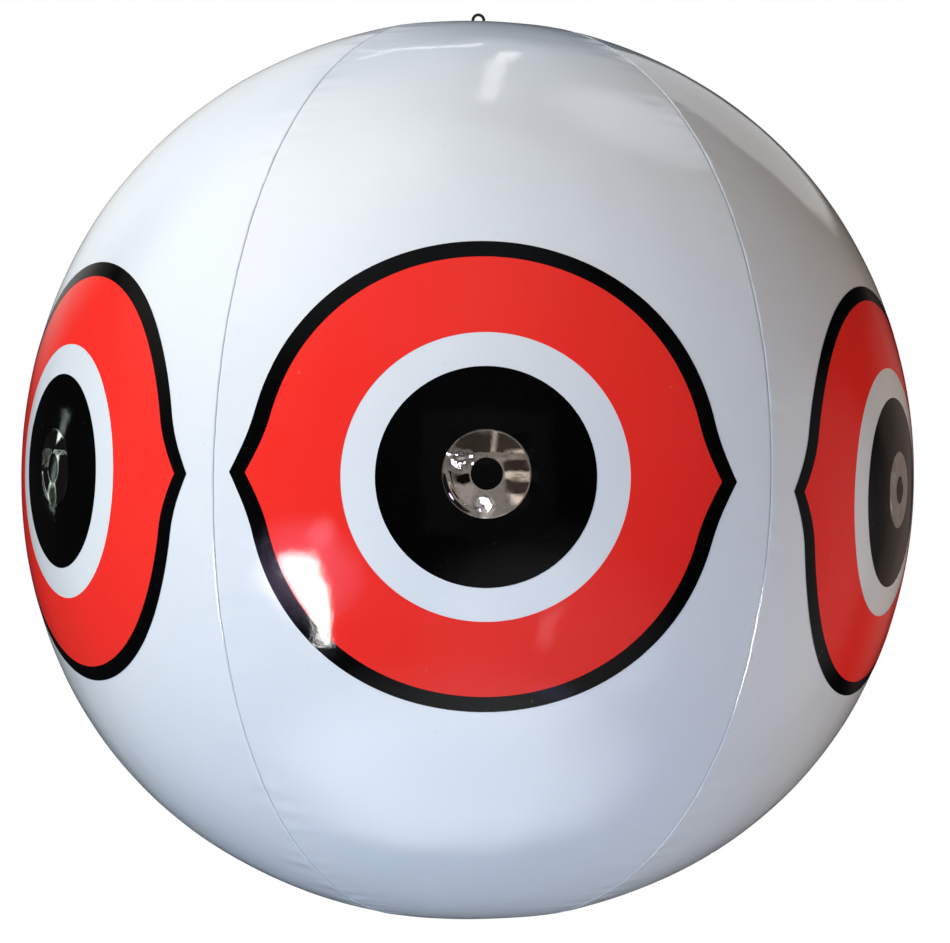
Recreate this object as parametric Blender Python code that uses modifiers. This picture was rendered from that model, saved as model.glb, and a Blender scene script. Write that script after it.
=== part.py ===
"""Hanging bird scare balloon: six welded vinyl gores, each with a printed eye.

Metres, +Z up. The origin is the point under the crown of the hanging link that a hook
or a cord bears on, so the whole balloon hangs below it. Gore 1 faces -Y, and the others
follow anticlockwise, seen from above.
"""

import math

import bmesh
import bpy
from mathutils import Vector

# Envelope
GORE_COUNT = 6
CENTRE_RADIUS = 0.300         # axis to the middle of a gore, at the equator
SECTION_RADIUS = 0.3675       # radius of one gore's own arc, seen from above
POLE_LIFT = 0.0039            # how much further out the poles are than the equator
SHOULDER_LIFT = 0.0041        # and how much further out the film is midway between
TOP_LIFT = 0.0047             # more of it at the top, where the balloon hangs, less below
FILM_THICKNESS = 0.0003
SEAM_GAP = 0.0003             # between two gores, where they are welded
WELD_FIN = 0.005              # depth of the seam allowance turned into the balloon
POLE_HOLE_RADIUS = 0.014      # the gores end here, under the round patches
GORE_COLUMNS = 6
GORE_ROWS = 24

# Printed eye, measured flat on the film
PUPIL_SHARE = 0.4535          # of the black outline's radius, as printed
WHITE_RING_SHARE = 0.5963     # bare film round the pupil, up to the red iris
OUTLINE_WIDTH = 0.0086        # black line round the iris
CORNER_REACH = 0.0100         # how far the eye's two corners stand out from its circle
CORNER_MARGIN = 0.0161        # from a corner's tip to the seam
CORNER_HALF_ANGLE = math.radians(15.0)
PRINT_SHIFT_SHARES = (-0.40, 0.17, 0.0, 0.0, 0.0, -0.17)   # of the corner margin, rightwards
PRINT_RISE_SHARES = (0.0, -0.29, 0.0, 0.0, 0.0, -0.09)     # of the corner margin, upwards
PRINT_GAP = 0.0002            # between the black line and the red iris
PRINT_THICKNESS = 0.0003
PRINT_CLEARANCE = 0.0007      # keeps the flat facets of a printed layer off the curved film
EYE_SEGMENTS = 28
PUPIL_CENTRE_SHARE = 0.25     # the pupil's middle facet, of its radius
PUPIL_ROW_COUNT = 2
IRIS_ROW_COUNT = 2

# Mirror ring stuck on each pupil
STICKER_RADIUS = 0.0238
STICKER_HOLE_RADIUS = 0.0086
STICKER_RISE = 0.0018         # its centre is this far above the pupil's
STICKER_THICKNESS = 0.0003
STICKER_SEGMENTS = 24

# Round patches that close the two poles
PATCH_RADIUS = 0.034
PATCH_THICKNESS = 0.0004
PATCH_CLEARANCE = 0.0005
PATCH_ROW_COUNT = 4

# Hanger
LINK_WIRE_RADIUS = 0.0010
LINK_HALF_WIDTH = 0.0038      # middle of the wire, from the link's centre line
LINK_STRAIGHT = 0.0024        # straight stretch between the link's round ends
HANGER_DISC_RADIUS = 0.016
HANGER_DISC_THICKNESS = 0.0010
LUG_HEIGHT = 0.0024           # disc to the link's pivot
LUG_RADIUS = 0.0027
LUG_THICKNESS = 0.0026
LINK_CLEARANCE = 0.0005       # between the link's wire and the lug's hole

# Air valve
FLANGE_RADIUS = 0.018
FLANGE_THICKNESS = 0.0010
SLEEVE_WALL = 0.0016
SLEEVE_LENGTH = 0.0080
STEM_BORE_RADIUS = 0.0038
STEM_WALL = 0.0028
STEM_CLEARANCE = 0.0004
STEM_TRAVEL = 0.0120          # how far the stem pulls out of the sleeve
LIP_OVERLAP = 0.0022          # the stem's lip past the sleeve's bore
LIP_THICKNESS = 0.0012
BEAD_OVERLAP = 0.0009         # the stem's inner bead past the sleeve's bore
BEAD_THICKNESS = 0.0016
PATCH_TO_SLEEVE = 0.0017

# Check flap over the stem's inner end
FLAP_THICKNESS = 0.0008
FLAP_OVERLAP = 0.0026         # past the bore
FLAP_TAB_HALF_WIDTH = 0.0025

# Stopper, hinged to a tab on the stem's lip
STRAP_LENGTH = 0.0020         # lip edge to the hinge line
STRAP_HALF_WIDTH = 0.0025
PLUG_CLEARANCE = 0.0004
PLUG_TAPER = 0.0008
PLUG_DEPTH = 0.0050
STOPPER_HEAD_RADIUS = 0.0063
STOPPER_HEAD_THICKNESS = 0.0014
PULL_TAB_REACH = 0.0047       # past the head
PULL_TAB_HALF_WIDTH = 0.0028

# Fits and facets
GAP = 0.0003                  # between two pieces that touch
OVERRUN = 0.0005              # how far a joined shape reaches into its neighbour
WELD_DISTANCE = 0.000001
TURNED_SEGMENTS = 24
LINK_ARC_STEPS = 7
LINK_BEVEL_RESOLUTION = 2

# Worked out from the sizes above
GORE_HALF_ANGLE = math.pi / GORE_COUNT
SECTION_SETBACK = SECTION_RADIUS - CENTRE_RADIUS
OUTLINE_RADIUS = CENTRE_RADIUS * GORE_HALF_ANGLE - CORNER_MARGIN - CORNER_REACH
IRIS_RADIUS = OUTLINE_RADIUS - OUTLINE_WIDTH
PUPIL_RADIUS = OUTLINE_RADIUS * PUPIL_SHARE
WHITE_RING_RADIUS = OUTLINE_RADIUS * WHITE_RING_SHARE
STICKER_LIFT = PRINT_CLEARANCE + PRINT_THICKNESS + GAP

LINK_HEIGHT = 2 * LINK_HALF_WIDTH + LINK_STRAIGHT
LINK_PIVOT_Z = LINK_WIRE_RADIUS - LINK_HEIGHT
HANGER_TOP_Z = LINK_PIVOT_Z - LUG_HEIGHT
TOP_PATCH_Z = HANGER_TOP_Z - HANGER_DISC_THICKNESS - GAP
TOP_POLE_Z = TOP_PATCH_Z - PATCH_THICKNESS - PATCH_CLEARANCE
TOP_POLE_RADIUS = CENTRE_RADIUS + POLE_LIFT + TOP_LIFT
BOTTOM_POLE_RADIUS = CENTRE_RADIUS + POLE_LIFT - TOP_LIFT
CENTRE_Z = TOP_POLE_Z - TOP_POLE_RADIUS
BOTTOM_POLE_Z = CENTRE_Z - BOTTOM_POLE_RADIUS

SLEEVE_BORE = STEM_BORE_RADIUS + STEM_WALL + STEM_CLEARANCE
SLEEVE_RADIUS = SLEEVE_BORE + SLEEVE_WALL
VALVE_HOLE_RADIUS = SLEEVE_RADIUS + PATCH_TO_SLEEVE
FLANGE_TOP_Z = BOTTOM_POLE_Z - PATCH_CLEARANCE - PATCH_THICKNESS - GAP
FLANGE_Z = FLANGE_TOP_Z - FLANGE_THICKNESS
LIP_Z = FLANGE_Z - GAP - LIP_THICKNESS
LIP_RADIUS = SLEEVE_BORE + LIP_OVERLAP
BEAD_Z = FLANGE_TOP_Z + SLEEVE_LENGTH + GAP + STEM_TRAVEL
BEAD_RADIUS = SLEEVE_BORE + BEAD_OVERLAP
STEM_TOP_Z = BEAD_Z + BEAD_THICKNESS
FLAP_Z = STEM_TOP_Z + GAP
STRAP_HINGE_X = -(LIP_RADIUS + STRAP_LENGTH)
STOPPER_HINGE_Z = LIP_Z - GAP / 2
HEAD_TOP_Z = LIP_Z - GAP

# Viewing colours: linear RGB, roughness
WHITE_VINYL = ("white_vinyl", (0.80, 0.83, 0.86), 0.22)
BLACK_PRINT = ("black_print", (0.006, 0.006, 0.007), 0.25)
RED_PRINT = ("red_print", (0.80, 0.035, 0.022), 0.25)
MIRROR_FILM = ("mirror_film", (0.30, 0.27, 0.25), 0.18)
BLACK_PLASTIC = ("black_plastic", (0.012, 0.012, 0.013), 0.35)
CLEAR_VINYL = ("soft_valve_vinyl", (0.72, 0.75, 0.78), 0.30)
METALLIC_FINISHES = ("mirror_film",)


def empty_the_scene():
    """Remove what a new Blender file starts with."""
    for obj in list(bpy.data.objects):
        bpy.data.objects.remove(obj, do_unlink=True)


def new_collection(name):
    """A collection in the scene."""
    collection = bpy.data.collections.new(name)
    bpy.context.scene.collection.children.link(collection)
    return collection


def finish(colour):
    """The material of that colour, made the first time it is asked for."""
    name, rgb, roughness = colour
    material = bpy.data.materials.get(name)
    if material is None:
        material = bpy.data.materials.new(name)
        material.use_nodes = True
        shader = material.node_tree.nodes["Principled BSDF"]
        shader.inputs["Base Color"].default_value = (*rgb, 1.0)
        shader.inputs["Roughness"].default_value = roughness
        shader.inputs["Metallic"].default_value = 1.0 if name in METALLIC_FINISHES else 0.0
    return material


def add_object(name, data, collection, colour=None, location=(0, 0, 0), turn=0.0):
    """Put a mesh or a curve in a collection as an object."""
    obj = bpy.data.objects.new(name, data)
    obj.location = location
    obj.rotation_euler.z = turn
    collection.objects.link(obj)
    if colour and not data.materials:
        data.materials.append(finish(colour))
    return obj


def smooth(mesh, angle_degrees=35.0):
    """Shade a mesh smooth between its sharp edges."""
    mesh.shade_smooth()
    mesh.set_sharp_from_angle(angle=math.radians(angle_degrees))


def solidify(obj, thickness, offset=-1.0):
    """Give an open surface its wall, on the inner side."""
    wall = obj.modifiers.new("wall", "SOLIDIFY")
    wall.thickness = thickness
    wall.offset = offset
    wall.use_even_offset = True


def union(obj, other):
    """Join another mesh object to this one, and keep the other as a hidden guide."""
    join = obj.modifiers.new("join_" + other.name, "BOOLEAN")
    join.operation = "UNION"
    join.solver = "EXACT"
    join.object = other
    other.hide_render = True
    other.display_type = "WIRE"


def plan_reach(angle):
    """Share of the centre radius at an angle from a gore's middle, seen from above."""
    across = SECTION_SETBACK * math.sin(angle)
    reach = math.sqrt(SECTION_RADIUS ** 2 - across ** 2) - SECTION_SETBACK * math.cos(angle)
    return reach / CENTRE_RADIUS


def meridian_radius(latitude):
    """Distance from the balloon's centre to the middle of a gore at a latitude."""
    height = math.sin(latitude)
    return (CENTRE_RADIUS + POLE_LIFT * height ** 2
            + SHOULDER_LIFT * math.sin(2 * latitude) ** 2 + TOP_LIFT * height ** 3)


def direction(angle, latitude):
    """Unit vector from the balloon's centre, for a gore that faces -Y."""
    return Vector((math.cos(latitude) * math.sin(angle),
                   -math.cos(latitude) * math.cos(angle), math.sin(latitude)))


def film_point(angle, latitude, lift=0.0):
    """A point on a gore's outer face, or lifted off it, from the balloon's centre."""
    radius = meridian_radius(latitude)
    flat = radius * math.cos(latitude) * plan_reach(angle)
    point = Vector((flat * math.sin(angle), -flat * math.cos(angle),
                    radius * math.sin(latitude)))
    return point + direction(angle, latitude) * lift


def eye_point(radius, turn, lift, shift, rise):
    """A point of the print, given flat: turn 0 is to the right, a quarter turn is up."""
    latitude = (radius * math.sin(turn) + rise) / CENTRE_RADIUS
    angle = (radius * math.cos(turn) + shift) / (CENTRE_RADIUS * math.cos(latitude))
    return film_point(angle, latitude, lift)


def corner_reach(turn):
    """How far the eye's corners stand out of its circle at a turn round the eye."""
    from_level = abs(math.atan2(math.sin(turn), abs(math.cos(turn))))
    return CORNER_REACH * max(0.0, 1.0 - from_level / CORNER_HALF_ANGLE) ** 2


def gore_mesh():
    """One gore: a lens of film with its two edges turned in as weld fins."""
    columns = GORE_COLUMNS + 2
    shell = bmesh.new()
    bmesh.ops.create_grid(shell, x_segments=columns, y_segments=GORE_ROWS, size=1.0)
    lowest = -math.acos(POLE_HOLE_RADIUS / BOTTOM_POLE_RADIUS)
    highest = math.acos(POLE_HOLE_RADIUS / TOP_POLE_RADIUS)
    for vert in shell.verts:
        column = round((vert.co.x + 1.0) / 2.0 * columns)
        latitude = lowest + (highest - lowest) * (vert.co.y + 1.0) / 2.0
        seam_radius = meridian_radius(latitude) * math.cos(latitude) * plan_reach(GORE_HALF_ANGLE)
        edge_angle = GORE_HALF_ANGLE - SEAM_GAP / 2 / seam_radius
        across = min(max(column - 1, 0), GORE_COLUMNS) / GORE_COLUMNS * 2.0 - 1.0
        vert.co = film_point(across * edge_angle, latitude)
        if column in (0, columns):
            seam = math.copysign(GORE_HALF_ANGLE, across)
            vert.co -= direction(seam, latitude) * WELD_FIN
    mesh = bpy.data.meshes.new("gore")
    shell.to_mesh(mesh)
    shell.free()
    smooth(mesh)
    return mesh


def ring_mesh(name, inner, outer, rows, segments, lift, shift, rise, filled=False):
    """A flat ring of the eye laid on the film; inner and outer give a radius for a turn."""
    skin = bmesh.new()
    bmesh.ops.create_grid(skin, x_segments=segments, y_segments=rows, size=1.0)
    for vert in skin.verts:
        turn = -math.pi * (vert.co.x + 1.0)
        share = (vert.co.y + 1.0) / 2.0
        radius = inner(turn) + (outer(turn) - inner(turn)) * share
        vert.co = eye_point(radius, turn, lift, shift, rise)
    bmesh.ops.remove_doubles(skin, verts=skin.verts, dist=WELD_DISTANCE)
    if filled:
        middle = eye_point(0.0, 0.0, lift, shift, rise)
        edges = [edge for edge in skin.edges if edge.is_boundary]
        edges.sort(key=lambda edge: (edge.verts[0].co - middle).length)
        bmesh.ops.contextual_create(skin, geom=edges[:segments])
        bmesh.ops.recalc_face_normals(skin, faces=skin.faces)
        if skin.faces[0].normal.y > 0:
            bmesh.ops.reverse_faces(skin, faces=skin.faces)
    mesh = bpy.data.meshes.new(name)
    skin.to_mesh(mesh)
    skin.free()
    smooth(mesh)
    return mesh


def eye_meshes(shift, rise):
    """One eye's skins with their colours and walls, printed off the gore's middle."""
    printed = PRINT_CLEARANCE + PRINT_THICKNESS
    outline = ring_mesh("eye_outline", lambda turn: IRIS_RADIUS + PRINT_GAP + corner_reach(turn),
                        lambda turn: OUTLINE_RADIUS + corner_reach(turn),
                        1, EYE_SEGMENTS, printed, shift, rise)
    iris = ring_mesh("eye_iris", lambda turn: WHITE_RING_RADIUS,
                     lambda turn: IRIS_RADIUS + corner_reach(turn),
                     IRIS_ROW_COUNT, EYE_SEGMENTS, printed, shift, rise)
    pupil = ring_mesh("eye_pupil", lambda turn: PUPIL_RADIUS * PUPIL_CENTRE_SHARE,
                      lambda turn: PUPIL_RADIUS, PUPIL_ROW_COUNT, EYE_SEGMENTS,
                      printed, shift, rise, filled=True)
    sticker = ring_mesh("pupil_sticker", lambda turn: STICKER_HOLE_RADIUS,
                        lambda turn: STICKER_RADIUS, 1, STICKER_SEGMENTS,
                        STICKER_LIFT + STICKER_THICKNESS, shift, rise + STICKER_RISE)
    return ((outline, BLACK_PRINT, PRINT_THICKNESS), (iris, RED_PRINT, PRINT_THICKNESS),
            (pupil, BLACK_PRINT, PRINT_THICKNESS), (sticker, MIRROR_FILM, STICKER_THICKNESS))


def make_envelope(collection):
    """The six gores, each with its printed eye and its mirror ring."""
    film = gore_mesh()
    for index in range(GORE_COUNT):
        shift = PRINT_SHIFT_SHARES[index % len(PRINT_SHIFT_SHARES)] * CORNER_MARGIN
        rise = PRINT_RISE_SHARES[index % len(PRINT_RISE_SHARES)] * CORNER_MARGIN
        names = ("gore_panel", "eye_outline", "eye_iris", "eye_pupil", "pupil_sticker")
        layers = ((film, WHITE_VINYL, FILM_THICKNESS),) + eye_meshes(shift, rise)
        for name, (mesh, colour, thickness) in zip(names, layers):
            piece = add_object(f"{name}_{index + 1}", mesh, collection, colour,
                               (0, 0, CENTRE_Z), 2 * GORE_HALF_ANGLE * index)
            solidify(piece, thickness)


def turned(name, profile, collection, colour, location=(0, 0, 0), closed=True):
    """A solid turned about Z from (radius, height) points that run down its outer side."""
    mesh = bpy.data.meshes.new(name)
    count = len(profile)
    edges = [(step, (step + 1) % count) for step in range(count if closed else count - 1)]
    mesh.from_pydata([(radius, 0.0, height) for radius, height in profile], edges, [])
    obj = add_object(name, mesh, collection, colour, location)
    spin = obj.modifiers.new("turn", "SCREW")
    spin.steps = TURNED_SEGMENTS
    spin.render_steps = TURNED_SEGMENTS
    spin.use_merge_vertices = True
    spin.merge_threshold = WELD_DISTANCE
    return obj


def patch_profile(inner_radius, pole_radius, side):
    """Domed patch section: side is 1 at the top pole and -1 at the bottom one."""
    near = []
    far = []
    for step in range(PATCH_ROW_COUNT + 1):
        radius = inner_radius + (PATCH_RADIUS - inner_radius) * step / PATCH_ROW_COUNT
        latitude = side * math.acos(radius / pole_radius)
        height = meridian_radius(latitude) * math.sin(latitude) + side * PATCH_CLEARANCE
        near.append((radius, height))
        far.append((radius, height + side * PATCH_THICKNESS))
    if side > 0:
        return far + near[::-1]
    return near + far[::-1]


def make_patches(collection):
    """The two round patches over the ends of the gores."""
    turned("top_patch", patch_profile(0.0, TOP_POLE_RADIUS, 1), collection, WHITE_VINYL,
           (0, 0, CENTRE_Z), closed=False)
    turned("bottom_patch", patch_profile(VALVE_HOLE_RADIUS, BOTTOM_POLE_RADIUS, -1), collection,
           WHITE_VINYL, (0, 0, CENTRE_Z))


def arc(centre, radius, start, end, steps):
    """Points on an arc from one angle to another, both ends included."""
    points = []
    for step in range(steps + 1):
        angle = start + (end - start) * step / steps
        points.append((centre[0] + radius * math.cos(angle), centre[1] + radius * math.sin(angle)))
    return points


def plate(name, loops, thickness, collection, colour, location=(0, 0, 0), rotation=(0, 0, 0)):
    """A flat plate, as a mesh, from closed outlines; the second outline is a hole."""
    data = bpy.data.curves.new(name, "CURVE")
    data.dimensions = "2D"
    data.fill_mode = "BOTH"
    data.extrude = thickness / 2
    for loop in loops:
        spline = data.splines.new("POLY")
        spline.points.add(len(loop) - 1)
        spline.use_cyclic_u = True
        for point, (across, along) in zip(spline.points, loop):
            point.co = (across, along, 0.0, 1.0)
    curve = bpy.data.objects.new(name + "_outline", data)
    collection.objects.link(curve)
    bpy.context.view_layer.update()
    graph = bpy.context.evaluated_depsgraph_get()
    mesh = bpy.data.meshes.new_from_object(curve.evaluated_get(graph))
    mesh.name = name
    bpy.data.objects.remove(curve, do_unlink=True)
    welded = bmesh.new()
    welded.from_mesh(mesh)
    bmesh.ops.remove_doubles(welded, verts=welded.verts, dist=WELD_DISTANCE)
    welded.to_mesh(mesh)
    welded.free()
    obj = add_object(name, mesh, collection, colour, location)
    obj.rotation_euler = rotation
    return obj


def make_hanger(collection, guides):
    """Black disc with a pierced lug on the top patch, and the link that swings in it."""
    disc = turned("hanger_base", [(0.0, HANGER_DISC_THICKNESS),
                                  (HANGER_DISC_RADIUS, HANGER_DISC_THICKNESS),
                                  (HANGER_DISC_RADIUS, 0.0), (0.0, 0.0)],
                  collection, BLACK_PLASTIC,
                  (0, 0, HANGER_TOP_Z - HANGER_DISC_THICKNESS), closed=False)
    root = -(LUG_HEIGHT + HANGER_DISC_THICKNESS / 2)
    crown = arc((0.0, 0.0), LUG_RADIUS, 0.0, math.pi, TURNED_SEGMENTS // 2)
    hole = arc((0.0, 0.0), LINK_WIRE_RADIUS + LINK_CLEARANCE, 0.0, 2 * math.pi, TURNED_SEGMENTS)
    lug = plate("hanger_lug", [[(LUG_RADIUS, root)] + crown + [(-LUG_RADIUS, root)], hole[:-1]],
                LUG_THICKNESS, guides, BLACK_PLASTIC, (0, 0, LINK_PIVOT_Z),
                (math.radians(90), 0, math.radians(90)))
    union(disc, lug)

    upper = arc((0.0, LINK_HALF_WIDTH + LINK_STRAIGHT), LINK_HALF_WIDTH, 0.0, math.pi,
                LINK_ARC_STEPS)
    lower = arc((0.0, LINK_HALF_WIDTH), LINK_HALF_WIDTH, math.pi, 2 * math.pi, LINK_ARC_STEPS)
    data = bpy.data.curves.new("hanging_link", "CURVE")
    data.dimensions = "3D"
    data.bevel_depth = LINK_WIRE_RADIUS
    data.bevel_resolution = LINK_BEVEL_RESOLUTION
    spline = data.splines.new("POLY")
    path = upper + lower
    spline.points.add(len(path) - 1)
    spline.use_cyclic_u = True
    for point, (across, up) in zip(spline.points, path):
        point.co = (across, 0.0, up, 1.0)
    add_object("hanging_link", data, collection, BLACK_PLASTIC, (0, 0, LINK_PIVOT_Z))


def make_valve(collection, guides):
    """Flanged sleeve, push-in stem, check flap and hinged stopper at the bottom pole."""
    turned("valve_flange", [(SLEEVE_BORE, SLEEVE_LENGTH), (SLEEVE_RADIUS, SLEEVE_LENGTH),
                            (SLEEVE_RADIUS, 0.0), (FLANGE_RADIUS, 0.0),
                            (FLANGE_RADIUS, -FLANGE_THICKNESS), (SLEEVE_BORE, -FLANGE_THICKNESS)],
           collection, CLEAR_VINYL, (0, 0, FLANGE_TOP_Z))

    shank = STEM_BORE_RADIUS + STEM_WALL
    top = STEM_TOP_Z - LIP_Z
    stem = turned("valve_stem", [(STEM_BORE_RADIUS, top), (BEAD_RADIUS, top),
                                 (BEAD_RADIUS, top - BEAD_THICKNESS),
                                 (shank, top - BEAD_THICKNESS), (shank, LIP_THICKNESS),
                                 (LIP_RADIUS, LIP_THICKNESS), (LIP_RADIUS, 0.0),
                                 (STEM_BORE_RADIUS, 0.0)],
                  collection, CLEAR_VINYL, (0, 0, LIP_Z))
    tab_end = STRAP_HINGE_X
    tab_root = -(LIP_RADIUS - OVERRUN)
    tab = plate("lip_tab", [[(tab_end, -STRAP_HALF_WIDTH), (tab_root, -STRAP_HALF_WIDTH),
                             (tab_root, STRAP_HALF_WIDTH), (tab_end, STRAP_HALF_WIDTH)]],
                LIP_THICKNESS, guides, CLEAR_VINYL, (0, 0, LIP_Z + LIP_THICKNESS / 2))
    union(stem, tab)

    make_flap(collection)
    make_stopper(collection, guides)


def tabbed_disc(radius, left, left_half, right, right_half):
    """Outline of a disc at the origin with a square tab to the left and one to the right."""
    right_turn = math.asin(right_half / radius)
    left_turn = math.asin(left_half / radius)
    steps = TURNED_SEGMENTS // 2
    over = arc((0.0, 0.0), radius, right_turn, math.pi - left_turn, steps)
    under = arc((0.0, 0.0), radius, math.pi + left_turn, 2 * math.pi - right_turn, steps)
    right_end = [(right, -right_half), (right, right_half)] if right > radius else []
    return right_end + over + [(left, left_half), (left, -left_half)] + under


def make_flap(collection):
    """The disc that closes the stem's inner end, hinged at its tab's edge."""
    radius = STEM_BORE_RADIUS + FLAP_OVERLAP
    loop = tabbed_disc(radius, -BEAD_RADIUS, FLAP_TAB_HALF_WIDTH, radius, FLAP_TAB_HALF_WIDTH)
    hinged = [(across + BEAD_RADIUS, along) for across, along in loop]
    flap = plate("check_flap", [hinged], FLAP_THICKNESS, collection, CLEAR_VINYL)
    for vert in flap.data.vertices:
        vert.co.z += FLAP_THICKNESS / 2
    flap.location = (-BEAD_RADIUS, 0, FLAP_Z)


def make_stopper(collection, guides):
    """Head with its arm and pull tab, and the tapered plug that closes the stem."""
    loop = tabbed_disc(STOPPER_HEAD_RADIUS, STRAP_HINGE_X, STRAP_HALF_WIDTH,
                       STOPPER_HEAD_RADIUS + PULL_TAB_REACH, PULL_TAB_HALF_WIDTH)
    hinged = [(across - STRAP_HINGE_X, along) for across, along in loop]
    head_top = HEAD_TOP_Z - STOPPER_HINGE_Z
    stopper = plate("valve_stopper", [hinged], STOPPER_HEAD_THICKNESS, collection, CLEAR_VINYL)
    for vert in stopper.data.vertices:
        vert.co.z += head_top - STOPPER_HEAD_THICKNESS / 2
    stopper.location = (STRAP_HINGE_X, 0, STOPPER_HINGE_Z)

    plug_radius = STEM_BORE_RADIUS - PLUG_CLEARANCE
    tip_radius = plug_radius - PLUG_TAPER
    plug = turned("stopper_plug", [(0.0, PLUG_DEPTH), (tip_radius, PLUG_DEPTH),
                                   (plug_radius, 0.0), (plug_radius, -OVERRUN), (0.0, -OVERRUN)],
                  guides, CLEAR_VINYL, (0, 0, HEAD_TOP_Z), closed=False)
    union(stopper, plug)


def main():
    """Model the balloon."""
    empty_the_scene()
    parts = new_collection("bird_scare_balloon")
    guides = new_collection("joined_shapes")
    make_envelope(parts)
    make_patches(parts)
    make_hanger(parts, guides)
    make_valve(parts, guides)


main()
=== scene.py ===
"""A hanging bird scare balloon: six welded vinyl gores, printed eyes and mirror rings.

Metres, +Z up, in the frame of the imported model. The origin lies under the crown of the
hanging link, gore 1 faces -Y and the others follow anticlockwise, seen from above.
"""

import logging
import math
from contextlib import contextmanager
from dataclasses import dataclass, field
from enum import Enum
from typing import Callable, Iterator, Sequence

import bmesh
import bpy
from mathutils import Matrix, Quaternion, Vector, noise


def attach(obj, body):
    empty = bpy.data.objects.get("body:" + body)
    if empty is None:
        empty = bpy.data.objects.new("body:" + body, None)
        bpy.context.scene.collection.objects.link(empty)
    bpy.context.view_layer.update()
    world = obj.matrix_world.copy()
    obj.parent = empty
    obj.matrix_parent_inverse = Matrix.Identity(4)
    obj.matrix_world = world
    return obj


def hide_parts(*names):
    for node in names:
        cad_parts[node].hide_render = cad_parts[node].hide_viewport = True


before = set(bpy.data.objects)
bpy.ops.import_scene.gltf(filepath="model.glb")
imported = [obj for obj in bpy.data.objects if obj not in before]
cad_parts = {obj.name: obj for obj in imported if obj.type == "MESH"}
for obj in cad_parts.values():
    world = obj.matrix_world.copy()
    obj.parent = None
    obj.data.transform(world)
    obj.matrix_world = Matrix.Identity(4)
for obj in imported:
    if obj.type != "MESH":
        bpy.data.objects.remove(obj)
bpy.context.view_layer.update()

MERGE_DISTANCE = 1e-6
LOG = logging.getLogger("balloon")

Profile = Sequence[tuple[float, float]]
Colour = tuple[float, float, float]


class Body(Enum):
    """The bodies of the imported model."""

    BALLOON = "balloon"
    LINK = "link"
    STEM = "stem"
    FLAP = "flap"
    STOPPER = "stopper"


class Slot(Enum):
    """The material slots of the record."""

    WHITE_VINYL = "white_vinyl"
    RED_PRINT = "red_print"
    BLACK_PRINT = "black_print"
    MIRROR_FILM = "mirror_film"
    BLACK_PLASTIC = "black_plastic"
    VALVE_VINYL = "valve_vinyl"


class Pole(Enum):
    """The balloon's two ends, as the sign of their height."""

    TOP = 1
    BOTTOM = -1


# Hands on the mesh

def deselect_all() -> None:
    """Leave object mode with nothing selected."""
    bpy.ops.object.select_all(action="DESELECT")


def take(piece: bpy.types.Object) -> None:
    """Make one object the only selected one, and the active one.

    Args:
        piece: the object to work on.
    """
    deselect_all()
    piece.select_set(True)
    bpy.context.view_layer.objects.active = piece


@contextmanager
def editing(piece: bpy.types.Object, everything: bool = True) -> Iterator[None]:
    """Hold an object in edit mode.

    Args:
        piece: the object to edit.
        everything: select all of it, or nothing.
    """
    take(piece)
    bpy.ops.object.mode_set(mode="EDIT")
    bpy.ops.mesh.select_all(action="SELECT" if everything else "DESELECT")
    yield
    bpy.ops.object.mode_set(mode="OBJECT")


def pick_edges(piece: bpy.types.Object, test: Callable[[bmesh.types.BMEdge], bool]) -> None:
    """Select the edges of an edit mesh that pass a test, and nothing else.

    Args:
        piece: the object, in edit mode.
        test: says which of them to select.
    """
    bpy.ops.mesh.select_all(action="DESELECT")
    mesh = bmesh.from_edit_mesh(piece.data)
    for edge in mesh.edges:
        if test(edge):
            edge.select_set(True)
    mesh.select_flush_mode()
    bmesh.update_edit_mesh(piece.data)


def weld(piece: bpy.types.Object) -> None:
    """Merge a mesh's doubles, drop what is loose and turn its faces outwards.

    Args:
        piece: the object, in object mode.
    """
    with editing(piece):
        bpy.ops.mesh.remove_doubles(threshold=MERGE_DISTANCE)
        bpy.ops.mesh.delete_loose(use_verts=True, use_edges=True, use_faces=False)
        bpy.ops.mesh.select_all(action="SELECT")
        bpy.ops.mesh.normals_make_consistent(inside=False)


def apply_modifier(piece: bpy.types.Object, kind: str, **settings: object) -> None:
    """Add a modifier, set it and apply it.

    Args:
        piece: the object.
        kind: the modifier's type.
        settings: its values.
    """
    take(piece)
    modifier = piece.modifiers.new(kind.lower(), kind)
    for name, value in settings.items():
        setattr(modifier, name, value)
    bpy.ops.object.modifier_apply(modifier=modifier.name)


def round_edges(piece: bpy.types.Object, width: float, segments: int = 3,
                over_degrees: float = 40.0) -> None:
    """Round the edges that are sharper than an angle.

    Args:
        piece: the object.
        width: how far each rounding reaches.
        segments: facets of a rounding.
        over_degrees: the least angle that is rounded.
    """
    apply_modifier(piece, "BEVEL", width=width, segments=segments, limit_method="ANGLE",
                   angle_limit=math.radians(over_degrees), use_clamp_overlap=True)


def smooth(piece: bpy.types.Object, under_degrees: float = 40.0) -> None:
    """Shade an object smooth between its sharp edges.

    Args:
        piece: the object.
        under_degrees: edges below this angle are smooth.
    """
    take(piece)
    bpy.ops.object.shade_smooth_by_angle(angle=math.radians(under_degrees))


def thicken(piece: bpy.types.Object, thickness: float, under_degrees: float = 60.0) -> None:
    """Give a skin its wall, inwards, and shade it smooth.

    Args:
        piece: the object.
        thickness: how thick the wall is.
        under_degrees: edges below this angle are smooth.
    """
    apply_modifier(piece, "SOLIDIFY", thickness=thickness, offset=-1.0)
    smooth(piece, under_degrees)


def store(piece: bpy.types.Object, name: str, values: Sequence[float]) -> None:
    """Keep a value on each vertex, for the finish to read.

    Args:
        piece: the object.
        name: the attribute's name.
        values: one for each vertex.
    """
    piece.data.attributes.new(name, "FLOAT", "POINT").data.foreach_set("value", values)


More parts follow.
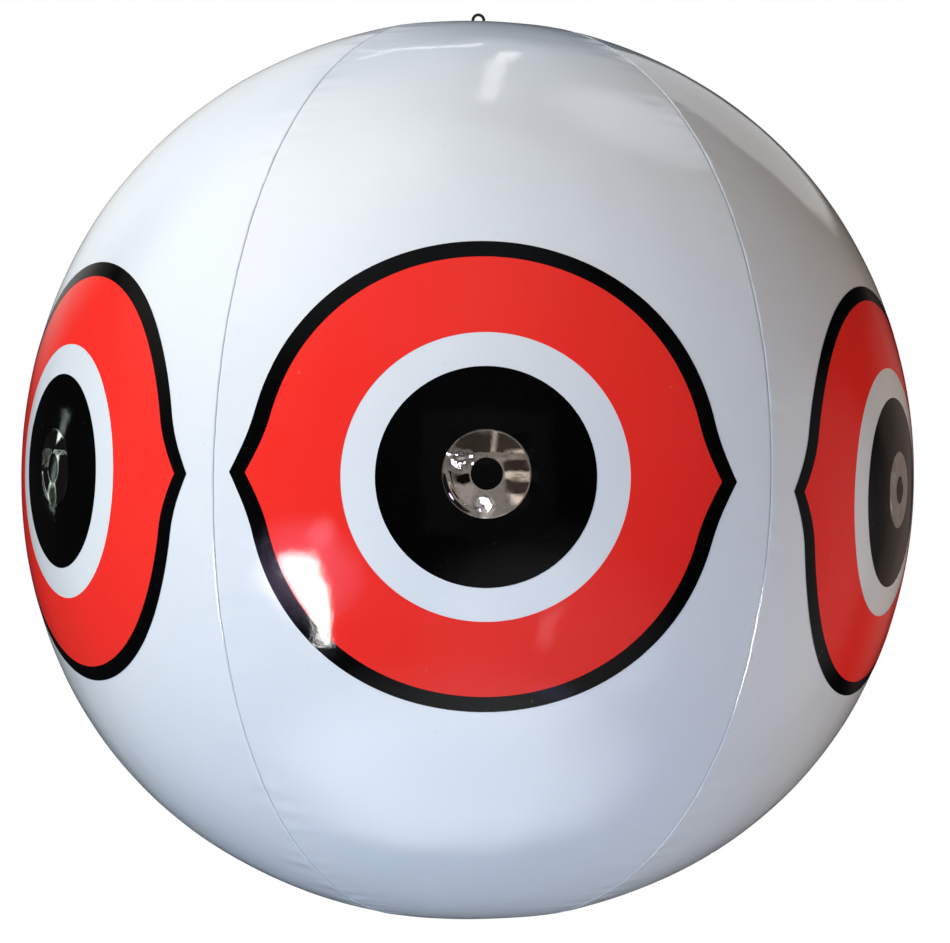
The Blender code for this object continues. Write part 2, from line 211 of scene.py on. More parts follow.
def move(piece: bpy.types.Object, offset: Vector) -> None:
    """Move a mesh, and leave its object at the origin.

    Args:
        piece: the object.
        offset: how far its mesh moves.
    """
    with editing(piece):
        bpy.ops.transform.translate(value=offset)


def outline_loop(points: Sequence[Vector]) -> bpy.types.Object:
    """A closed loop of edges through some points.

    Args:
        points: the corners, in order.

    Returns:
        The object that carries the loop.
    """
    deselect_all()
    bpy.ops.mesh.primitive_circle_add(vertices=len(points), radius=1.0, fill_type="NOTHING")
    piece = bpy.context.object
    for vert, point in zip(piece.data.vertices, points):
        vert.co = point
    return piece


def turned(profile: Profile, segments: int = 72) -> bpy.types.Object:
    """A solid turned about the Z axis.

    Args:
        profile: closed run of (radius, height) corners.
        segments: steps of the full turn.

    Returns:
        The new object.
    """
    piece = outline_loop([Vector((radius, 0.0, height)) for radius, height in profile])
    with editing(piece):
        bpy.ops.mesh.spin(steps=segments, angle=math.tau, center=(0, 0, 0), axis=(0, 0, 1))
    weld(piece)
    return piece


def plate(outline: Profile, thickness: float) -> bpy.types.Object:
    """A flat plate that stands on its outline, upwards.

    Args:
        outline: (x, y) corners, in order.
        thickness: how far it reaches up.

    Returns:
        The new object.
    """
    piece = outline_loop([Vector((across, along, 0.0)) for across, along in outline])
    with editing(piece):
        bpy.ops.mesh.edge_face_add()
        bpy.ops.mesh.extrude_region_move(TRANSFORM_OT_translate={"value": (0, 0, thickness)})
    weld(piece)
    return piece


def flat_disc(radii: Sequence[float], segments: int, filled: bool) -> bpy.types.Object:
    """A flat ring or disc of rows of faces that look up.

    Args:
        radii: radius of each row, from the rim inwards.
        segments: facets round it.
        filled: close the middle with a point.

    Returns:
        The new object.
    """
    deselect_all()
    bpy.ops.mesh.primitive_circle_add(vertices=segments, radius=radii[0], fill_type="NOTHING")
    piece = bpy.context.object
    with editing(piece):
        for before, after in zip(radii, radii[1:]):
            bpy.ops.mesh.extrude_edges_move()
            share = after / before
            bpy.ops.transform.resize(value=(share, share, 1.0), center_override=(0, 0, 0))
        if filled:
            bpy.ops.mesh.extrude_edges_move()
            bpy.ops.mesh.merge(type="CENTER")
    if piece.data.polygons[0].normal.z < 0:
        with editing(piece):
            bpy.ops.mesh.flip_normals()
    return piece


def union(piece: bpy.types.Object, other: bpy.types.Object) -> None:
    """Join a second solid to a first, which alone stays.

    Args:
        piece: the solid that stays.
        other: the solid that goes into it.
    """
    apply_modifier(piece, "BOOLEAN", operation="UNION", solver="EXACT", object=other)
    bpy.data.objects.remove(other, do_unlink=True)


def hand_over(piece: bpy.types.Object, name: str, material: bpy.types.Material, body: Body,
              node: str) -> None:
    """Name a finished piece, dress it and set it on its body.

    Args:
        piece: the object.
        name: its name in the scene.
        material: its finish.
        body: the body that it rides on.
        node: the CAD node that it stands for.
    """
    piece.name = name
    piece.data.name = name
    piece.data.materials.clear()
    piece.data.materials.append(material)
    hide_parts(node)
    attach(piece, body.value)
    LOG.info("%s: %d faces on %s", name, len(piece.data.polygons), body.value)


def spread(start: float, end: float, steps: int) -> list[float]:
    """Evenly spaced values, both ends included.

    Args:
        start: first value.
        end: last value.
        steps: gaps between them.

    Returns:
        The values.
    """
    return [start + (end - start) * step / steps for step in range(steps + 1)]


def ease(low: float, high: float, value: float) -> float:
    """A smooth step from 0 at one value to 1 at another.

    Args:
        low: where it is 0.
        high: where it is 1.
        value: where it is read.

    Returns:
        The share between them.
    """
    share = min(max((value - low) / (high - low), 0.0), 1.0)
    return share * share * (3.0 - 2.0 * share)


def bell(offset: float, reach: float) -> float:
    """Share at an offset from a middle: 1 there, and about a third at its reach."""
    return math.exp(-(offset / reach) ** 2)


# Shape of the inflated film

@dataclass(frozen=True)
class FilmRelief:
    """What the weld and the tension do to the film, beyond its inflated shape."""

    lip_radius: float = 0.0013        # the film rolls into the weld over this
    wiggle: float = 0.0003            # how far a weld strays from its meridian
    wiggle_length: float = 0.0105
    wiggle_reach: float = 0.006       # distance from the weld over which it dies away
    pucker: float = 0.000928          # height of the gathers beside a weld
    pucker_length: float = 0.0085
    pucker_peak: float = 0.0055       # distance from the weld where they are highest
    pucker_end: float = 9.0           # times that distance, where they have gone
    pucker_turn: float = 0.045        # they change on the way from the weld over this
    fine_pucker: float = 0.35         # height of the shorter ones close to the weld
    fine_length: float = 0.5          # and their length, both as shares of the others'
    spell_length: float = 0.055       # they come and go along the weld over this
    spell_least: float = 0.45
    spell_more: float = 0.9
    swell: float = 0.00026            # slow undulation all over
    swell_length: float = 0.060
    fine_swell: float = 0.4           # height and length of the shorter one over it
    fine_swell_length: float = 0.45
    seam_seed: float = 3.7            # these keep welds, gores and sides from looking alike
    gore_seed: float = 11.3
    side_seed: float = 5.1

    def stray(self, seam: int, along: float) -> float:
        """How far a weld strays sideways.

        Args:
            seam: the weld's number.
            along: distance along it, from the equator.

        Returns:
            The distance, in metres.
        """
        place = Vector((along / self.wiggle_length, self.seam_seed * seam, 0.5))
        return self.wiggle * noise.noise(place)

    def gathers(self, gore: int, side: int, along: float, from_seam: float) -> float:
        """Height of the gathers beside a weld.

        Args:
            gore: the gore's number.
            side: 1 for its right weld and -1 for its left one.
            along: distance along the weld, from the equator.
            from_seam: distance from the weld.

        Returns:
            The height, in metres.
        """
        reach = from_seam / self.pucker_peak
        if reach > self.pucker_end:
            return 0.0
        seed = self.gore_seed * gore + self.side_seed * side
        come = abs(noise.noise(Vector((along / self.spell_length, seed, 4.0))))
        spell = self.spell_least + self.spell_more * come
        fold = noise.noise(Vector((along / self.pucker_length, seed,
                                   from_seam / self.pucker_turn)))
        fine = noise.noise(Vector((along / (self.fine_length * self.pucker_length), seed, 9.0)))
        fold += self.fine_pucker * fine * math.exp(-reach)
        return self.pucker * spell * fold * reach * math.exp(1.0 - reach)

    def lip(self, from_seam: float) -> float:
        """How far the film has rolled inwards at a distance from the weld.

        Args:
            from_seam: distance from the weld.

        Returns:
            The depth, in metres.
        """
        left = max(self.lip_radius - from_seam, 0.0)
        return self.lip_radius - math.sqrt(max(self.lip_radius ** 2 - left ** 2, 0.0))

    def undulation(self, point: Vector) -> float:
        """Slow undulation of the film.

        Args:
            point: a point on it.

        Returns:
            The height, in metres.
        """
        fine = noise.noise(point / (self.fine_swell_length * self.swell_length))
        return self.swell * (noise.noise(point / self.swell_length) + self.fine_swell * fine)


@dataclass(frozen=True)
class BalloonForm:
    """The inflated shape that films, prints and patches are laid on."""

    gore_count: int = 6
    centre_radius: float = 0.300
    section_radius: float = 0.3675
    pole_lift: float = 0.0039         # how much further out the poles are
    shoulder_lift: float = 0.0041     # and the film midway up to them
    top_lift: float = 0.0047          # more of it at the top, less below
    centre_z: float = -0.3222
    calm_under: float = 0.115         # the film lies flat where the latitude's cosine is less,
    calm_over: float = 0.20           # and is as loose as elsewhere where it is more than this
    calm_lip: float = 0.3             # share of the weld's lip that is left where it lies flat
    still_beside_weld: float = 0.01   # the undulation sets in over this
    relief: FilmRelief = FilmRelief()

    @property
    def half_angle(self) -> float:
        """Half of a gore's angle, seen from above."""
        return math.pi / self.gore_count

    def plan_reach(self, angle: float) -> float:
        """How round the plan is: a gore is an arc that is flatter than the circle.

        Args:
            angle: from the gore's middle.

        Returns:
            The plan's reach at that angle, as a share of the centre radius.
        """
        setback = self.section_radius - self.centre_radius
        across = setback * math.sin(angle)
        reach = math.sqrt(self.section_radius ** 2 - across ** 2) - setback * math.cos(angle)
        return reach / self.centre_radius

    def meridian_radius(self, latitude: float) -> float:
        """Distance from the balloon's centre to the middle of a gore."""
        height = math.sin(latitude)
        return (self.centre_radius + self.pole_lift * height ** 2
                + self.shoulder_lift * math.sin(2 * latitude) ** 2 + self.top_lift * height ** 3)

    def pole_radius(self, pole: Pole) -> float:
        """Distance from the balloon's centre to a pole."""
        return self.meridian_radius(pole.value * math.pi / 2)

    def from_seam(self, angle: float, latitude: float) -> float:
        """Distance over the film to the nearer weld."""
        flat = self.meridian_radius(latitude) * math.cos(latitude) * self.plan_reach(angle)
        return (self.half_angle - abs(angle)) * flat

    def film_point(self, gore: int, angle: float, latitude: float, lift: float = 0.0) -> Vector:
        """A point on the film or lifted off it.

        Args:
            gore: the gore's number, from 0.
            angle: from the gore's middle, positive to the right seen from outside.
            latitude: above the equator.
            lift: distance off the film.

        Returns:
            The point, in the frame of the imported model.
        """
        cosine, sine = math.cos(latitude), math.sin(latitude)
        radius = self.meridian_radius(latitude)
        flat = radius * cosine * self.plan_reach(angle)
        near = (self.half_angle - abs(angle)) * flat
        along = self.centre_radius * latitude
        side = 1 if angle > 0 else -1
        seam = (gore + (1 if angle > 0 else 0)) % self.gore_count
        stray = self.relief.stray(seam, along) * math.exp(-near / self.relief.wiggle_reach)
        azimuth = angle + stray / flat + 2 * self.half_angle * gore
        level = Vector((math.sin(azimuth), -math.cos(azimuth), 0.0))
        point = level * flat + Vector((0.0, 0.0, radius * sine))
        loose = ease(self.calm_under, self.calm_over, cosine)
        kept = self.calm_lip + (1.0 - self.calm_lip) * loose
        height = lift - self.relief.lip(near) * kept
        if loose > 0.0:
            swell = self.relief.undulation(point) * min(near / self.still_beside_weld, 1.0)
            height += loose * (self.relief.gathers(gore, side, along, near) + swell)
        outwards = level * cosine + Vector((0.0, 0.0, sine))
        return point + outwards * height + Vector((0.0, 0.0, self.centre_z))

    def printed_point(self, gore: int, across: float, up: float, lift: float) -> Vector:
        """A point of the print, given flat from the middle of a gore.

        Args:
            gore: the gore's number, from 0.
            across: distance to the right.
            up: distance up.
            lift: distance off the film.

        Returns:
            The point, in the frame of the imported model.
        """
        latitude = up / self.centre_radius
        angle = across / (self.centre_radius * math.cos(latitude))
        return self.film_point(gore, angle, latitude, lift)


# Node sheets

class NodeSheet:
    """Adds nodes to a tree, and feeds their sockets."""

    def __init__(self, tree: bpy.types.NodeTree) -> None:
        """Take the tree to work on."""
        self.tree = tree

    def add(self, kind: str, inputs: dict[str | int, object] | None = None,
            **settings: object) -> bpy.types.Node:
        """Add a node.

        Args:
            kind: the node's type, without its ShaderNode prefix.
            inputs: value or source socket for each input.
            settings: the node's own options.

        Returns:
            The node.
        """
        node = self.tree.nodes.new("ShaderNode" + kind)
        for name, value in settings.items():
            setattr(node, name, value)
        for socket, value in (inputs or {}).items():
            self.feed(node.inputs[socket], value)
        return node

    def feed(self, socket: bpy.types.NodeSocket, value: object) -> None:
        """Link a source to a socket, or set its value.

        Args:
            socket: the input.
            value: an output socket, or a plain value.
        """
        if isinstance(value, bpy.types.NodeSocket):
            self.tree.links.new(value, socket)
        else:
            socket.default_value = value

    def noise(self, vector: bpy.types.NodeSocket, scale: float, detail: float = 2.0,
              roughness: float = 0.5, distortion: float = 0.0) -> bpy.types.NodeSocket:
        """A noise value from 0 to 1."""
        return self.add("TexNoise", {"Vector": vector, "Scale": scale, "Detail": detail,
                                     "Roughness": roughness,
                                     "Distortion": distortion}).outputs[0]

    def math(self, operation: str, *values: object) -> bpy.types.NodeSocket:
        """What a Math node makes of one, two or three values."""
        return self.add("Math", dict(enumerate(values)), operation=operation).outputs[0]

    def ramp(self, value: bpy.types.NodeSocket, low: float, high: float, out_low: float = 0.0,
             out_high: float = 1.0) -> bpy.types.NodeSocket:
        """A value carried from one range to another, and held inside it."""
        return self.add("MapRange", {"Value": value, "From Min": low, "From Max": high,
                                     "To Min": out_low, "To Max": out_high},
                        interpolation_type="SMOOTHSTEP").outputs[0]

    def mix(self, share: object, first: object, second: object) -> bpy.types.NodeSocket:
        """A colour between two."""
        return self.add("Mix", {0: share, 6: first, 7: second}, data_type="RGBA").outputs[2]


def rgba(colour: Colour) -> tuple[float, float, float, float]:
    """A colour with its alpha."""
    return (*colour, 1.0)


def make_group(name: str, inputs: dict[str, tuple[str, float | None]], outputs: Sequence[str],
               fill: Callable[[NodeSheet, bpy.types.Node, bpy.types.Node], None]
               ) -> bpy.types.NodeTree:
    """A shader node group with named sockets.

    Args:
        name: its name.
        inputs: type and first value of each input.
        outputs: names of its value outputs.
        fill: adds its nodes, given the sheet and its two ends.

    Returns:
        The group.
    """
    group = bpy.data.node_groups.new(name, "ShaderNodeTree")
    for socket, (kind, value) in inputs.items():
        made = group.interface.new_socket(socket, in_out="INPUT", socket_type=kind)
        if value is not None:
            made.default_value = value
    for socket in outputs:
        group.interface.new_socket(socket, in_out="OUTPUT", socket_type="NodeSocketFloat")
    fill(NodeSheet(group), group.nodes.new("NodeGroupInput"), group.nodes.new("NodeGroupOutput"))
    return group


def fill_film_relief(sheet: NodeSheet, start: bpy.types.Node, end: bpy.types.Node) -> None:
    """Fine relief of calendered film under tension.

    Args:
        sheet: where the nodes go.
        start: the group's input node.
        end: the group's output node.
    """
    place = start.outputs["Vector"]
    broad = sheet.math("MULTIPLY", sheet.noise(place, 16.0, 1.0), start.outputs["Broad"])
    fine = sheet.math("MULTIPLY", sheet.noise(place, 170.0, 2.0, 0.55), start.outputs["Fine"])
    grain = sheet.math("MULTIPLY", sheet.noise(place, 1500.0, 1.0), start.outputs["Grain"])
    total = sheet.math("ADD", broad, sheet.math("ADD", fine, grain))
    sheet.feed(end.inputs["Height"], total)


def fill_handling(sheet: NodeSheet, start: bpy.types.Node, end: bpy.types.Node) -> None:
    """Smudges, faint rub lines and specks of dust.

    Args:
        sheet: where the nodes go.
        start: the group's input node.
        end: the group's output node.
    """
    place = start.outputs["Vector"]
    cloud = sheet.ramp(sheet.noise(place, 13.0, 5.0, 0.62), 0.45, 0.72)
    stretched = sheet.add("Mapping", {"Vector": place, "Rotation": (0.5, 0.9, 0.3),
                                      "Scale": (1.0, 14.0, 3.0)}).outputs[0]
    rubs = sheet.ramp(sheet.noise(stretched, 36.0, 3.0, 0.7), 0.64, 0.74)
    sheet.feed(end.inputs["Smudge"], sheet.math("MAXIMUM", cloud,
                                               sheet.math("MULTIPLY", rubs, 0.6)))
    cells = sheet.add("TexVoronoi", {"Vector": place, "Scale": start.outputs["Dust Scale"]})
    near = sheet.ramp(cells.outputs["Distance"], 0.05, 0.11, 1.0, 0.0)
    parts = sheet.add("SeparateColor", {"Color": cells.outputs["Color"]}).outputs[0]
    chosen = sheet.math("GREATER_THAN", parts, 0.82)
    sheet.feed(end.inputs["Dust"], sheet.math("MULTIPLY", near, chosen))


def fill_crinkle(sheet: NodeSheet, start: bpy.types.Node, end: bpy.types.Node) -> None:
    """Creased facets and fine ruling of metallised film.

    Args:
        sheet: where the nodes go.
        start: the group's input node.
        end: the group's output node.
    """
    place = start.outputs["Vector"]
    bent = sheet.add("VectorMath", {0: place, 1: sheet.add(
        "TexNoise", {"Vector": place, "Scale": 60.0, "Detail": 2.0}).outputs[1]},
        operation="ADD").outputs[0]
    warp = sheet.add("VectorMath", {0: place, 1: bent, 2: (0.012, 0.012, 0.012)},
                     operation="MULTIPLY_ADD").outputs[0]
    cells = sheet.add("TexVoronoi", {"Vector": warp, "Scale": start.outputs["Facets"]},
                      feature="F1").outputs["Distance"]
    small = sheet.noise(place, 1300.0, 3.0, 0.6)
    sheet.feed(end.inputs["Crease"], sheet.math("ADD", cells, sheet.math("MULTIPLY", small, 0.4)))
    ruling = sheet.add("TexWave", {"Vector": place, "Scale": start.outputs["Ruling"],
                                   "Distortion": 0.6}, bands_direction="DIAGONAL").outputs[1]
    sheet.feed(end.inputs["Lines"], ruling)


def fill_moulding(sheet: NodeSheet, start: bpy.types.Node, end: bpy.types.Node) -> None:
    """Satin grain and flow marks of a small moulding.

    Args:
        sheet: where the nodes go.
        start: the group's input node.
        end: the group's output node.
    """
    place = start.outputs["Vector"]
    grain = sheet.noise(place, 3200.0, 2.0, 0.6)
    flow = sheet.noise(place, 260.0, 3.0, 0.5, 1.2)
    sheet.feed(end.inputs["Grain"], sheet.math("ADD", sheet.math("MULTIPLY", grain, 0.35), flow))
    sheet.feed(end.inputs["Wear"], sheet.ramp(sheet.noise(place, 520.0, 4.0, 0.7), 0.60, 0.78))


class SharedEffects:
    """The node groups that several finishes use."""

    def __init__(self) -> None:
        """Make each group once."""
        vector = {"Vector": ("NodeSocketVector", None)}
        number = "NodeSocketFloat"
        self.film = make_group("film_relief", {**vector, "Broad": (number, 1.0),
                                               "Fine": (number, 0.05), "Grain": (number, 0.01)},
                               ["Height"], fill_film_relief)
        self.handling = make_group("handling_marks", {**vector, "Dust Scale": (number, 60.0)},
                                   ["Smudge", "Dust"], fill_handling)
        self.crinkle = make_group("crinkled_foil", {**vector, "Facets": (number, 560.0),
                                                    "Ruling": (number, 900.0)},
                                  ["Crease", "Lines"], fill_crinkle)
        self.moulding = make_group("moulded_grain", vector, ["Grain", "Wear"], fill_moulding)


# Finishes

@dataclass(frozen=True)
class Finish:
    """What every finish has: a name, and a way to become a material."""

    name: str

    def start(self) -> tuple[bpy.types.Material, NodeSheet, bpy.types.Node, bpy.types.NodeSocket]:
        """Begin the material.

        Returns:
            The material, its sheet, its Principled shader and its Object coordinates.
        """
        material = bpy.data.materials.new(self.name)
        material.use_nodes = True
        sheet = NodeSheet(material.node_tree)
        shader = material.node_tree.nodes["Principled BSDF"]
        place = sheet.add("TexCoord").outputs["Object"]
        return material, sheet, shader, place

    @staticmethod
    def use(sheet: NodeSheet, group: bpy.types.NodeTree,
            inputs: dict[str, object]) -> bpy.types.Node:
        """Place a shared group in a material.

        Args:
            sheet: the material's sheet.
            group: the shared effect.
            inputs: its values in this material.

        Returns:
            The group's node.
        """
        node = sheet.add("Group", node_tree=group)
        for name, value in inputs.items():
            sheet.feed(node.inputs[name], value)
        return node

    @staticmethod
    def bump(sheet: NodeSheet, shader: bpy.types.Node, height: bpy.types.NodeSocket,
             distance: float) -> None:
        """Give a shader its relief.

        Args:
            sheet: the material's sheet.
            shader: its Principled shader.
            height: the relief, as a value.
            distance: metres for a height of 1.
        """
        node = sheet.add("Bump", {"Height": height, "Distance": distance, "Strength": 1.0})
        sheet.feed(shader.inputs["Normal"], node.outputs[0])


@dataclass(frozen=True)
class FilmFinish(Finish):
    """What bare and printed film have alike: smudges, dust and the film's relief."""

    roughness: tuple[float, float] = (0.05, 0.12)
    dust: Colour = (0.55, 0.53, 0.50)
    dust_share: float = 0.10
    dust_scale: float = 85.0
    relief: float = 0.0010            # metres for a height of 1
    fine: float = 0.05                # shares of it that the fine relief and the grain have
    grain: float = 0.008

    def handle(self, sheet: NodeSheet, shader: bpy.types.Node, place: bpy.types.NodeSocket,
               effects: SharedEffects, colour: bpy.types.NodeSocket) -> None:
        """Lay handling marks and the film's relief over a clean colour.

        Args:
            sheet: the material's sheet.
            shader: its Principled shader.
            place: its Object coordinates.
            effects: the shared node groups.
            colour: the clean colour.
        """
        marks = self.use(sheet, effects.handling, {"Vector": place, "Dust Scale": self.dust_scale})
        speck = sheet.math("MULTIPLY", marks.outputs["Dust"], self.dust_share)
        sheet.feed(shader.inputs["Base Color"], sheet.mix(speck, colour, rgba(self.dust)))
        sheet.feed(shader.inputs["Roughness"],
                   sheet.ramp(marks.outputs["Smudge"], 0.0, 1.0, *self.roughness))
        relief = self.use(sheet, effects.film, {"Vector": place, "Broad": 1.0, "Fine": self.fine,
                                                "Grain": self.grain})
        self.bump(sheet, shader, relief.outputs["Height"], self.relief)


@dataclass(frozen=True)
class WhiteVinyl(FilmFinish):
    """Glossy white film, with a blue-grey painted shade in the hollow where it rolls into each weld.
    """

    roughness: tuple[float, float] = (0.07, 0.15)
    dust: Colour = (0.50, 0.48, 0.45)
    dust_scale: float = 70.0
    fine: float = 0.045
    grain: float = 0.004
    colour: Colour = (0.83, 0.85, 0.87)
    shaded: Colour = (0.79, 0.815, 0.845)
    # weld: colour of the painted shade along each weld's hollow
    weld: Colour = (0.40, 0.45, 0.53)
    weld_shade_share: float = 0.75          # share of that painted weld shade, right at the weld
    weld_shade_width: float = 0.0007
    milkiness: float = 0.06
    milk_depth: tuple[float, float, float] = (0.004, 0.004, 0.005)

    def material(self, effects: SharedEffects) -> bpy.types.Material:
        """The material.

        Args:
            effects: the shared node groups.

        Returns:
            The new material.
        """
        material, sheet, shader, place = self.start()
        cloud = sheet.ramp(sheet.noise(place, 4.5, 3.0, 0.5), 0.3, 0.7)
        colour = sheet.mix(cloud, rgba(self.colour), rgba(self.shaded))
        # painted shade: the film turns blue-grey towards each weld, where it rolls in
        edge = sheet.add("Attribute", attribute_name="from_weld").outputs["Fac"]
        groove_shade = sheet.ramp(edge, 0.0, self.weld_shade_width, self.weld_shade_share, 0.0)
        self.handle(sheet, shader, place, effects, sheet.mix(groove_shade, colour, rgba(self.weld)))
        shader.inputs["Subsurface Weight"].default_value = self.milkiness
        shader.inputs["Subsurface Radius"].default_value = self.milk_depth
        return material


@dataclass(frozen=True)
class PrintedInk(FilmFinish):
    """Screen-printed ink that follows the film below it."""

    colour: Colour = (0.8, 0.03, 0.02)
    thin: Colour = (0.8, 0.06, 0.04)
    gloss: float = 0.5
    screen_share: float = 0.3         # of the thin places that the screen makes

    def material(self, effects: SharedEffects) -> bpy.types.Material:
        """The material.

        Args:
            effects: the shared node groups.

        Returns:
            The new material.
        """
        material, sheet, shader, place = self.start()
        cover = sheet.ramp(sheet.noise(place, 7.0, 4.0, 0.55), 0.35, 0.75)
        screen = sheet.ramp(sheet.noise(place, 420.0, 2.0, 0.5), 0.55, 0.80)
        share = sheet.math("ADD", sheet.math("MULTIPLY", cover, 1.0 - self.screen_share),
                           sheet.math("MULTIPLY", screen, self.screen_share))
        self.handle(sheet, shader, place, effects,
                    sheet.mix(share, rgba(self.colour), rgba(self.thin)))
        shader.inputs["Specular IOR Level"].default_value = self.gloss
        return material


@dataclass(frozen=True)
class MirrorFilm(Finish):
    """Crinkled metallised film with a fine ruling."""

    colour: Colour = (0.62, 0.59, 0.56)
    dull: Colour = (0.46, 0.44, 0.42)
    roughness: tuple[float, float] = (0.015, 0.04)
    dust_scale: float = 160.0
    ruled_tone: float = 0.18          # how much the ruling lightens the film
    ruled_height: float = 0.0008      # and stands up, as a share of a full crease
    flat_crease: float = 0.012        # share of a full crease where nothing is crumpled
    relief: float = 0.00009           # metres for a full crease

    def material(self, effects: SharedEffects) -> bpy.types.Material:
        """The material.

        Args:
            effects: the shared node groups.

        Returns:
            The new material.
        """
        material, sheet, shader, place = self.start()
        foil = self.use(sheet, effects.crinkle, {"Vector": place})
        marks = self.use(sheet, effects.handling, {"Vector": place, "Dust Scale": self.dust_scale})
        crumple = sheet.add("Attribute", attribute_name="crumple").outputs["Fac"]
        tone = sheet.ramp(sheet.noise(place, 95.0, 4.0, 0.6), 0.30, 0.60)
        tone = sheet.math("MULTIPLY_ADD", foil.outputs["Lines"], self.ruled_tone, tone)
        sheet.feed(shader.inputs["Base Color"],
                   sheet.mix(tone, rgba(self.dull), rgba(self.colour)))
        shader.inputs["Metallic"].default_value = 1.0
        sheet.feed(shader.inputs["Roughness"],
                   sheet.ramp(marks.outputs["Smudge"], 0.0, 1.0, *self.roughness))
        creased = sheet.math("MULTIPLY", foil.outputs["Crease"],
                             sheet.ramp(crumple, 0.04, 0.9, self.flat_crease, 1.0))
        height = sheet.math("MULTIPLY_ADD", foil.outputs["Lines"], self.ruled_height, creased)
        self.bump(sheet, shader, height, self.relief)
        return material


@dataclass(frozen=True)
class MouldedPlastic(Finish):
    """A small moulding, rigid and black or soft and milky."""

    colour: Colour = (0.014, 0.014, 0.015)
    worn: Colour = (0.045, 0.045, 0.047)
    roughness: tuple[float, float] = (0.28, 0.46)
    milkiness: float = 0.0
    milk_depth: tuple[float, float, float] = (0.002, 0.002, 0.0022)
    relief: float = 0.00005           # metres for a height of 1

    def material(self, effects: SharedEffects) -> bpy.types.Material:
        """The material.

        Args:
            effects: the shared node groups.

        Returns:
            The new material.
        """
        material, sheet, shader, place = self.start()
        grain = self.use(sheet, effects.moulding, {"Vector": place})
        colour = sheet.mix(grain.outputs["Wear"], rgba(self.colour), rgba(self.worn))
        sheet.feed(shader.inputs["Base Color"], colour)
        sheet.feed(shader.inputs["Roughness"],
                   sheet.ramp(grain.outputs["Grain"], 0.4, 1.0, *self.roughness))
        shader.inputs["Subsurface Weight"].default_value = self.milkiness
        shader.inputs["Subsurface Radius"].default_value = self.milk_depth
        self.bump(sheet, shader, grain.outputs["Grain"], self.relief)
        return material


class Finishes:
    """The object's materials, made once."""

    def __init__(self) -> None:
        """Make them all."""
        effects = SharedEffects()
        self.film = WhiteVinyl("white_vinyl_film").material(effects)
        self.red = PrintedInk("red_ink", colour=(0.96, 0.030, 0.022), thin=(0.96, 0.042, 0.030),
                              gloss=0.08).material(effects)
        self.black = PrintedInk("black_ink", colour=(0.0012, 0.0012, 0.0013),
                                thin=(0.004, 0.004, 0.0045), gloss=0.07).material(effects)
        self.mirror = MirrorFilm("crinkled_mirror_film").material(effects)
        self.plastic = MouldedPlastic("black_moulded_plastic").material(effects)
        self.valve = MouldedPlastic("soft_valve_vinyl", colour=(0.77, 0.79, 0.80),
                                    worn=(0.70, 0.72, 0.74), roughness=(0.22, 0.38),
                                    milkiness=0.25, relief=0.00004).material(effects)


# Envelope

@dataclass
class Envelope:
    """Six gores of film, each with its weld fins."""

    form: BalloonForm
    thickness: float = 0.0003
    weld_gap: float = 0.0001
    weld_fin: float = 0.005
    pole_hole_radius: float = 0.014
    columns: int = 80
    rows: int = 340
    crowding: float = 2.2             # how much closer the columns stand at the welds
    weld_zone: float = 0.96903        # share of the half angle past which an edge is at a weld

    def film(self, gore: int) -> bpy.types.Object:
        """One gore, inflated from a flat grid.

        Args:
            gore: its number, from 0.

        Returns:
            The new object.
        """
        deselect_all()
        bpy.ops.mesh.primitive_grid_add(x_subdivisions=self.columns, y_subdivisions=self.rows,
                                        size=2.0)
        piece = bpy.context.object
        form = self.form
        lowest = -math.acos(self.pole_hole_radius / form.pole_radius(Pole.BOTTOM))
        highest = math.acos(self.pole_hole_radius / form.pole_radius(Pole.TOP))
        from_weld = []
        for vert in piece.data.vertices:
            latitude = lowest + (highest - lowest) * (vert.co.y + 1.0) / 2.0
            seam_radius = (form.meridian_radius(latitude) * math.cos(latitude)
                           * form.plan_reach(form.half_angle))
            edge = form.half_angle - self.weld_gap / 2 / seam_radius
            share = 1.0 - (1.0 - min(abs(vert.co.x), 1.0)) ** self.crowding
            angle = math.copysign(share * edge, vert.co.x)
            from_weld.append(form.from_seam(angle, latitude))
            vert.co = form.film_point(gore, angle, latitude)
        store(piece, "from_weld", from_weld)
        self.add_fins(piece, gore)
        thicken(piece, self.thickness)
        return piece

    def add_fins(self, piece: bpy.types.Object, gore: int) -> None:
        """Turn the two edges inwards as weld fins.

        Args:
            piece: the gore, in object mode.
            gore: its number, from 0.
        """
        centre = Vector((0.0, 0.0, self.form.centre_z))
        back = Matrix.Rotation(-2 * self.form.half_angle * gore, 3, "Z")

        def on_weld(edge: bmesh.types.BMEdge) -> bool:
            """Whether an edge of the mesh lies along one of the two welds."""
            flats = [back @ (vert.co - centre) for vert in edge.verts]
            return edge.is_boundary and all(
                abs(math.atan2(flat.x, -flat.y)) >= self.form.half_angle * self.weld_zone
                for flat in flats)

        with editing(piece, everything=False):
            bpy.ops.mesh.select_mode(type="EDGE")
            pick_edges(piece, on_weld)
            bpy.ops.mesh.extrude_edges_move()
            mesh = bmesh.from_edit_mesh(piece.data)
            for vert in mesh.verts:
                if vert.select:
                    vert.co -= (vert.co - centre).normalized() * self.weld_fin
            bmesh.update_edit_mesh(piece.data)
            bpy.ops.mesh.select_mode(type="VERT")

    def build(self, finishes: Finishes) -> None:
        """Make the six gores.

        Args:
            finishes: the object's materials.
        """
        for gore in range(self.form.gore_count):
            hand_over(self.film(gore), f"gore_film_{gore + 1}", finishes.film, Body.BALLOON,
                      f"gore_panel_{gore + 1}")


